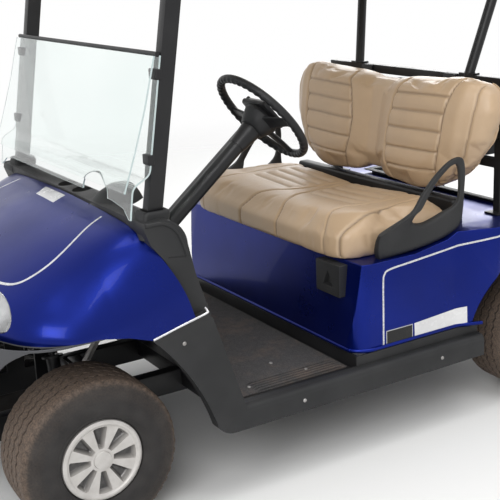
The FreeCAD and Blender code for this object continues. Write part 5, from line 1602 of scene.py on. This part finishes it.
def sew_cushion(pad):
    """Middle strip, each half's inset panel with faint channels, and the seams that outline them."""
    points = vertex_array(pad.data)
    normal = vertex_array(pad.data, "normal")
    x = points[:, 0]
    y = np.abs(points[:, 1])
    top = soft_step(0.45, 0.8, normal[:, 2])
    shell = soft_step(-0.2, 0.3, normal[:, 2] + normal[:, 0] * 1.4)
    inner, panel, outer = (np.interp(x, *seam) for seam in (CUSHION_INNER, CUSHION_PANEL, CUSHION_OUTER))
    inner_seam = dent(y - inner, 0.0050) * shell
    panel_seam = dent(y - panel, 0.0044) * shell
    side_seam = dent(y - outer, 0.0044) * shell
    inside = soft_step(inner + 0.020, inner + 0.032, y) * soft_step(panel - 0.034, panel - 0.046, y)
    across, puff = sew_channels(-x, CUSHION_CHANNELS, 0.0065, inside * top)
    front = dent(x + 0.140, 0.050) * top
    shift = -0.0068 * inner_seam - 0.0050 * panel_seam - 0.0055 * side_seam - 0.0034 * across + 0.0022 * puff
    shift += 0.0045 * front
    wave = np.sin(y * 210 + x * 60) * np.sin(x * 95 - 1.0) * soft_step(outer + 0.01, outer + 0.04, y)
    shift += 0.0010 * wave * shell
    put_vertices(pad, points + normal * shift[:, None])
    # Level for the painted shade along the seams and, fainter, in the channels
    seams = (dent(y - inner, 0.0024), dent(y - panel, 0.0022) * 0.8, dent(y - outer, 0.0026))
    line = np.maximum.reduce(seams) * shell
    set_level(pad, "crease", np.clip(np.maximum(line, across * 0.3), 0, 1))


# Hip restraint from the side, as outlines of (x, z), its middle and the plane of its outer face
RESTRAINT_OUTER = ((-0.128, 0.608), (-0.124, 0.640), (-0.129, 0.676), (-0.152, 0.696), (-0.198, 0.708),
                   (-0.256, 0.735), (-0.297, 0.785), (-0.345, 0.833), (-0.398, 0.870), (-0.438, 0.883),
                   (-0.464, 0.873), (-0.471, 0.824), (-0.468, 0.772), (-0.466, 0.715), (-0.462, 0.675),
                   (-0.444, 0.648), (-0.396, 0.629), (-0.316, 0.614), (-0.209, 0.605), (-0.145, 0.603))
RESTRAINT_INNER = ((-0.272, 0.702), (-0.300, 0.748), (-0.352, 0.815), (-0.412, 0.859), (-0.442, 0.852),
                   (-0.449, 0.780), (-0.438, 0.735), (-0.398, 0.711), (-0.352, 0.694), (-0.306, 0.687))
RESTRAINT_MIDDLE = (-0.365, 0.755)
RESTRAINT_FACE = 0.5400


def loop_reach(outline, angle):
    """How far a closed outline lies from the restraint's middle at an angle."""
    way = (math.cos(angle), math.sin(angle))
    best = 0.0
    for k in range(len(outline)):
        ax, az = outline[k - 1][0] - RESTRAINT_MIDDLE[0], outline[k - 1][1] - RESTRAINT_MIDDLE[1]
        bx, bz = outline[k][0] - RESTRAINT_MIDDLE[0], outline[k][1] - RESTRAINT_MIDDLE[1]
        ex, ez = bx - ax, bz - az
        det = way[0] * ez - way[1] * ex
        if abs(det) < 1e-9:
            continue
        reach = (ax * ez - az * ex) / det
        share = (ax * way[1] - az * way[0]) / det
        if reach > 0 and -1e-9 <= share <= 1 + 1e-9:
            best = max(best, reach)
    return best


def add_restraint(name, side):
    """Hip restraint: a rounded loop, slim above and broad where it stands on the body."""
    outer = smooth_path([(x, z, 0.0) for x, z in RESTRAINT_OUTER], 6, True)[:, :2]
    inner = smooth_path([(x, z, 0.0) for x, z in RESTRAINT_INNER], 6, True)[:, :2]
    count, steps = 120, 20
    grid = np.zeros((count, steps, 3))
    for i, angle in enumerate(turns(count)):
        low, high = loop_reach(inner, angle), loop_reach(outer, angle)
        way = (math.cos(angle), math.sin(angle))
        z = RESTRAINT_MIDDLE[1] + way[1] * (low + high) / 2
        shoe = 1.0 - float(soft_step(0.655, 0.745, z))
        half = 0.0085 + 0.0155 * shoe
        middle = RESTRAINT_FACE - half
        for k, a in enumerate(turns(steps)):
            along = math.copysign(abs(math.cos(a)) ** 0.62, math.cos(a))
            over = math.copysign(abs(math.sin(a)) ** 0.62, math.sin(a))
            reach = (low + high) / 2 + (high - low) / 2 * along
            slope = 0.011 * shoe * (along * 0.5 - 0.5) * (over > 0)
            grid[i, k] = (RESTRAINT_MIDDLE[0] + way[0] * reach, side * (middle + half * over + slope),
                          RESTRAINT_MIDDLE[1] + way[1] * reach)
    return shade(turn_out(add_grid(name, grid, FINISHES["plastic"], wrap_rows=True, wrap_columns=True)))


def add_piping(name, tree, rows, radius, cast):
    """Piping laid on a pad: each row is a point, dropped onto the pad along the cast direction."""
    path = []
    for point in smooth_path(rows, 14):
        start = Vector(point) - Vector(cast) * 0.12
        hit, normal = tree.ray_cast(start, Vector(cast).normalized(), 0.3)[:2]
        if hit:
            path.append(hit + normal * radius * 0.25)
    if len(path) < 4:
        raise RuntimeError(name + " missed the pad")
    line = add_tube(name, path, radius, FINISHES["vinyl"], 8, up=(0.3, 0.9, 0.1))
    # The piping takes a faint, even share of the painted crease shade
    set_level(line, "crease", np.full(len(line.data.vertices), 0.12))
    return line


class CART_OT_seat(bpy.types.Operator):
    """Builds the padded seat back and cushion with their seams and piping, the hip restraints and the rail"""
    bl_idname = "cart.seat"
    bl_label = "Seat"

    def execute(self, context):
        back = seat_back_pad()
        swell(back, 0.022, keep_back)
        sew_back(back)
        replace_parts(back, "seat_back")
        cushion = cushion_pad()
        swell(cushion, 0.024, keep_cushion)
        sew_cushion(cushion)
        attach(cushion, "seat")
        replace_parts(cushion, "seat_cushion")
        for side, name in SIDES:
            loop = add_restraint("hip_restraint_" + name, side)
            if side > 0:
                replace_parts(loop, "hip_restraints")
        rail = add_box("seat_rear_rail", *SEAT_RAIL, FINISHES["metal"])
        round_edges(rail, 0.010, 4)
        back_tree = skin_tree(back)
        for side, name in SIDES:
            rows = [back_shape(-0.075, 0.62 * side, z) for z in (0.030, 0.07, 0.14, 0.22, 0.29, 0.335, 0.355)]
            edge = add_piping("seat_back_piping_" + name, back_tree, rows, 0.0032, (0.0, -float(side), 0.0))
        return {"FINISHED"}


FLOOR_RADIUS = 14.0
FLOOR_FADE = (1.9, 6.5)
SENSOR_WIDTH = 36.0
WHITE = (1.0, 1.0, 1.0, 1.0)
# Each lamp's name, place, target and size
LAMPS = (("key", (3.4, 3.6, 3.6), (0, 0, 0.6), 3.2),
         ("top", (-0.4, 0.6, 4.6), (0, 0, 0.5), 3.6),
         ("back", (-3.6, -3.0, 2.8), (0, 0, 0.7), 2.6))


def add_lamp(name, place, target, size, power):
    """Square area lamp aimed at a point."""
    data = bpy.data.lights.new(name, "AREA")
    data.shape = "SQUARE"
    data.size = size
    data.energy = power
    lamp = bpy.data.objects.new(name, data)
    bpy.context.scene.collection.objects.link(lamp)
    lamp.location = place
    lamp.rotation_euler = (Vector(target) - Vector(place)).to_track_quat("-Z", "Y").to_euler()


def path_share(nodes, links):
    """1 for camera, glossy and transmission rays."""
    light = nodes.new("ShaderNodeLightPath").outputs
    share = light["Is Camera Ray"]
    for ray in ("Is Glossy Ray", "Is Transmission Ray"):
        larger = nodes.new("ShaderNodeMath")
        larger.operation = "MAXIMUM"
        links.new(share, larger.inputs[0])
        links.new(light[ray], larger.inputs[1])
        share = larger.outputs[0]
    return share


def make_world(fill):
    """White where it is seen or mirrored, and an even fill light on the rest."""
    world = bpy.data.worlds.new("studio")
    bpy.context.scene.world = world
    world.use_nodes = True
    nodes = world.node_tree.nodes
    links = world.node_tree.links
    fill_light = nodes["Background"]
    fill_light.inputs["Color"].default_value = WHITE
    fill_light.inputs["Strength"].default_value = fill
    seen = nodes.new("ShaderNodeBackground")
    seen.inputs["Color"].default_value = WHITE
    seen.inputs["Strength"].default_value = 1.0
    blend = nodes.new("ShaderNodeMixShader")
    links.new(path_share(nodes, links), blend.inputs[0])
    links.new(fill_light.outputs[0], blend.inputs[1])
    links.new(seen.outputs[0], blend.inputs[2])
    links.new(blend.outputs[0], nodes["World Output"].inputs["Surface"])


def make_floor():
    """Pale floor that fades into the white round it."""
    bm = bmesh.new()
    bmesh.ops.create_circle(bm, cap_ends=True, segments=96, radius=FLOOR_RADIUS)
    mesh = bpy.data.meshes.new("floor")
    bm.to_mesh(mesh)
    bm.free()
    floor = bpy.data.objects.new("floor", mesh)
    bpy.context.scene.collection.objects.link(floor)
    material = bpy.data.materials.new("pale_floor")
    material.use_nodes = True
    nodes = material.node_tree.nodes
    links = material.node_tree.links
    shader = nodes["Principled BSDF"]
    shader.inputs["Base Color"].default_value = (0.86, 0.86, 0.85, 1.0)
    shader.inputs["Roughness"].default_value = 0.85
    clear = nodes.new("ShaderNodeBsdfTransparent")
    place = nodes.new("ShaderNodeTexCoord")
    size = nodes.new("ShaderNodeVectorMath")
    size.operation = "LENGTH"
    fade = nodes.new("ShaderNodeMapRange")
    fade.interpolation_type = "SMOOTHSTEP"
    fade.inputs["From Min"].default_value = FLOOR_FADE[0]
    fade.inputs["From Max"].default_value = FLOOR_FADE[1]
    blend = nodes.new("ShaderNodeMixShader")
    links.new(place.outputs["Object"], size.inputs[0])
    links.new(size.outputs["Value"], fade.inputs["Value"])
    links.new(fade.outputs["Result"], blend.inputs[0])
    links.new(shader.outputs[0], blend.inputs[1])
    links.new(clear.outputs[0], blend.inputs[2])
    links.new(blend.outputs[0], nodes["Material Output"].inputs["Surface"])
    mesh.materials.append(material)


class CART_OT_stage(bpy.types.Operator):
    """Sets up the camera, the lamps, the floor and the white surround"""
    bl_idname = "cart.stage"
    bl_label = "Stage"

    def execute(self, context):
        stage = context.scene.cart_stage
        scene = context.scene
        scene.view_settings.view_transform = "Standard"
        data = bpy.data.cameras.new("camera")
        data.lens = stage.lens
        data.sensor_width = SENSOR_WIDTH
        data.clip_end = 200.0
        camera = bpy.data.objects.new("camera", data)
        scene.collection.objects.link(camera)
        look = Vector((math.cos(stage.camera_yaw) * math.cos(stage.camera_pitch),
                       math.sin(stage.camera_yaw) * math.cos(stage.camera_pitch),
                       -math.sin(stage.camera_pitch)))
        right = look.cross(Vector((0, 0, 1))).normalized()
        down = look.cross(right)
        lean = stage.camera_roll
        right, down = (right * math.cos(lean) + down * math.sin(lean),
                       down * math.cos(lean) - right * math.sin(lean))
        turn = Matrix((right, -down, -look)).transposed().to_4x4()
        camera.matrix_world = Matrix.Translation(stage.camera_place) @ turn
        scene.camera = camera
        for name, place, target, size in LAMPS:
            add_lamp(name, place, target, size, getattr(stage, name + "_power"))
        make_world(stage.fill)
        make_floor()
        return {"FINISHED"}


class CART_PT_panel(bpy.types.Panel):
    """Buttons for the pieces, and their settings"""
    bl_label = "Golf Cart"
    bl_idname = "CART_PT_panel"
    bl_space_type = "VIEW_3D"
    bl_region_type = "UI"
    bl_category = "Golf Cart"

    def draw(self, context):
        layout = self.layout
        for operator in OPERATORS:
            layout.operator(operator.bl_idname)
        for group in (context.scene.cart_paint, context.scene.cart_wheel, context.scene.cart_stage):
            box = layout.box()
            for name in group.bl_rna.properties.keys():
                if name not in ("rna_type", "name"):
                    box.prop(group, name)


OPERATORS = (CART_OT_frame, CART_OT_wheels, CART_OT_cowl, CART_OT_windshield, CART_OT_steering,
             CART_OT_cabin, CART_OT_trim, CART_OT_seat, CART_OT_stage)
SETTINGS = (CartPaint, CartWheel, CartStage)


def register():
    for kind in SETTINGS + OPERATORS + (CART_PT_panel,):
        bpy.utils.register_class(kind)
    bpy.types.Scene.cart_paint = PointerProperty(type=CartPaint)
    bpy.types.Scene.cart_wheel = PointerProperty(type=CartWheel)
    bpy.types.Scene.cart_stage = PointerProperty(type=CartStage)


def unregister():
    del bpy.types.Scene.cart_stage
    del bpy.types.Scene.cart_wheel
    del bpy.types.Scene.cart_paint
    for kind in reversed(SETTINGS + OPERATORS + (CART_PT_panel,)):
        bpy.utils.unregister_class(kind)


def main():
    """Builds the whole cart."""
    register()
    for operator in OPERATORS:
        group, name = operator.bl_idname.split(".")
        getattr(getattr(bpy.ops, group), name)()


if __name__ == "__main__":
    main()
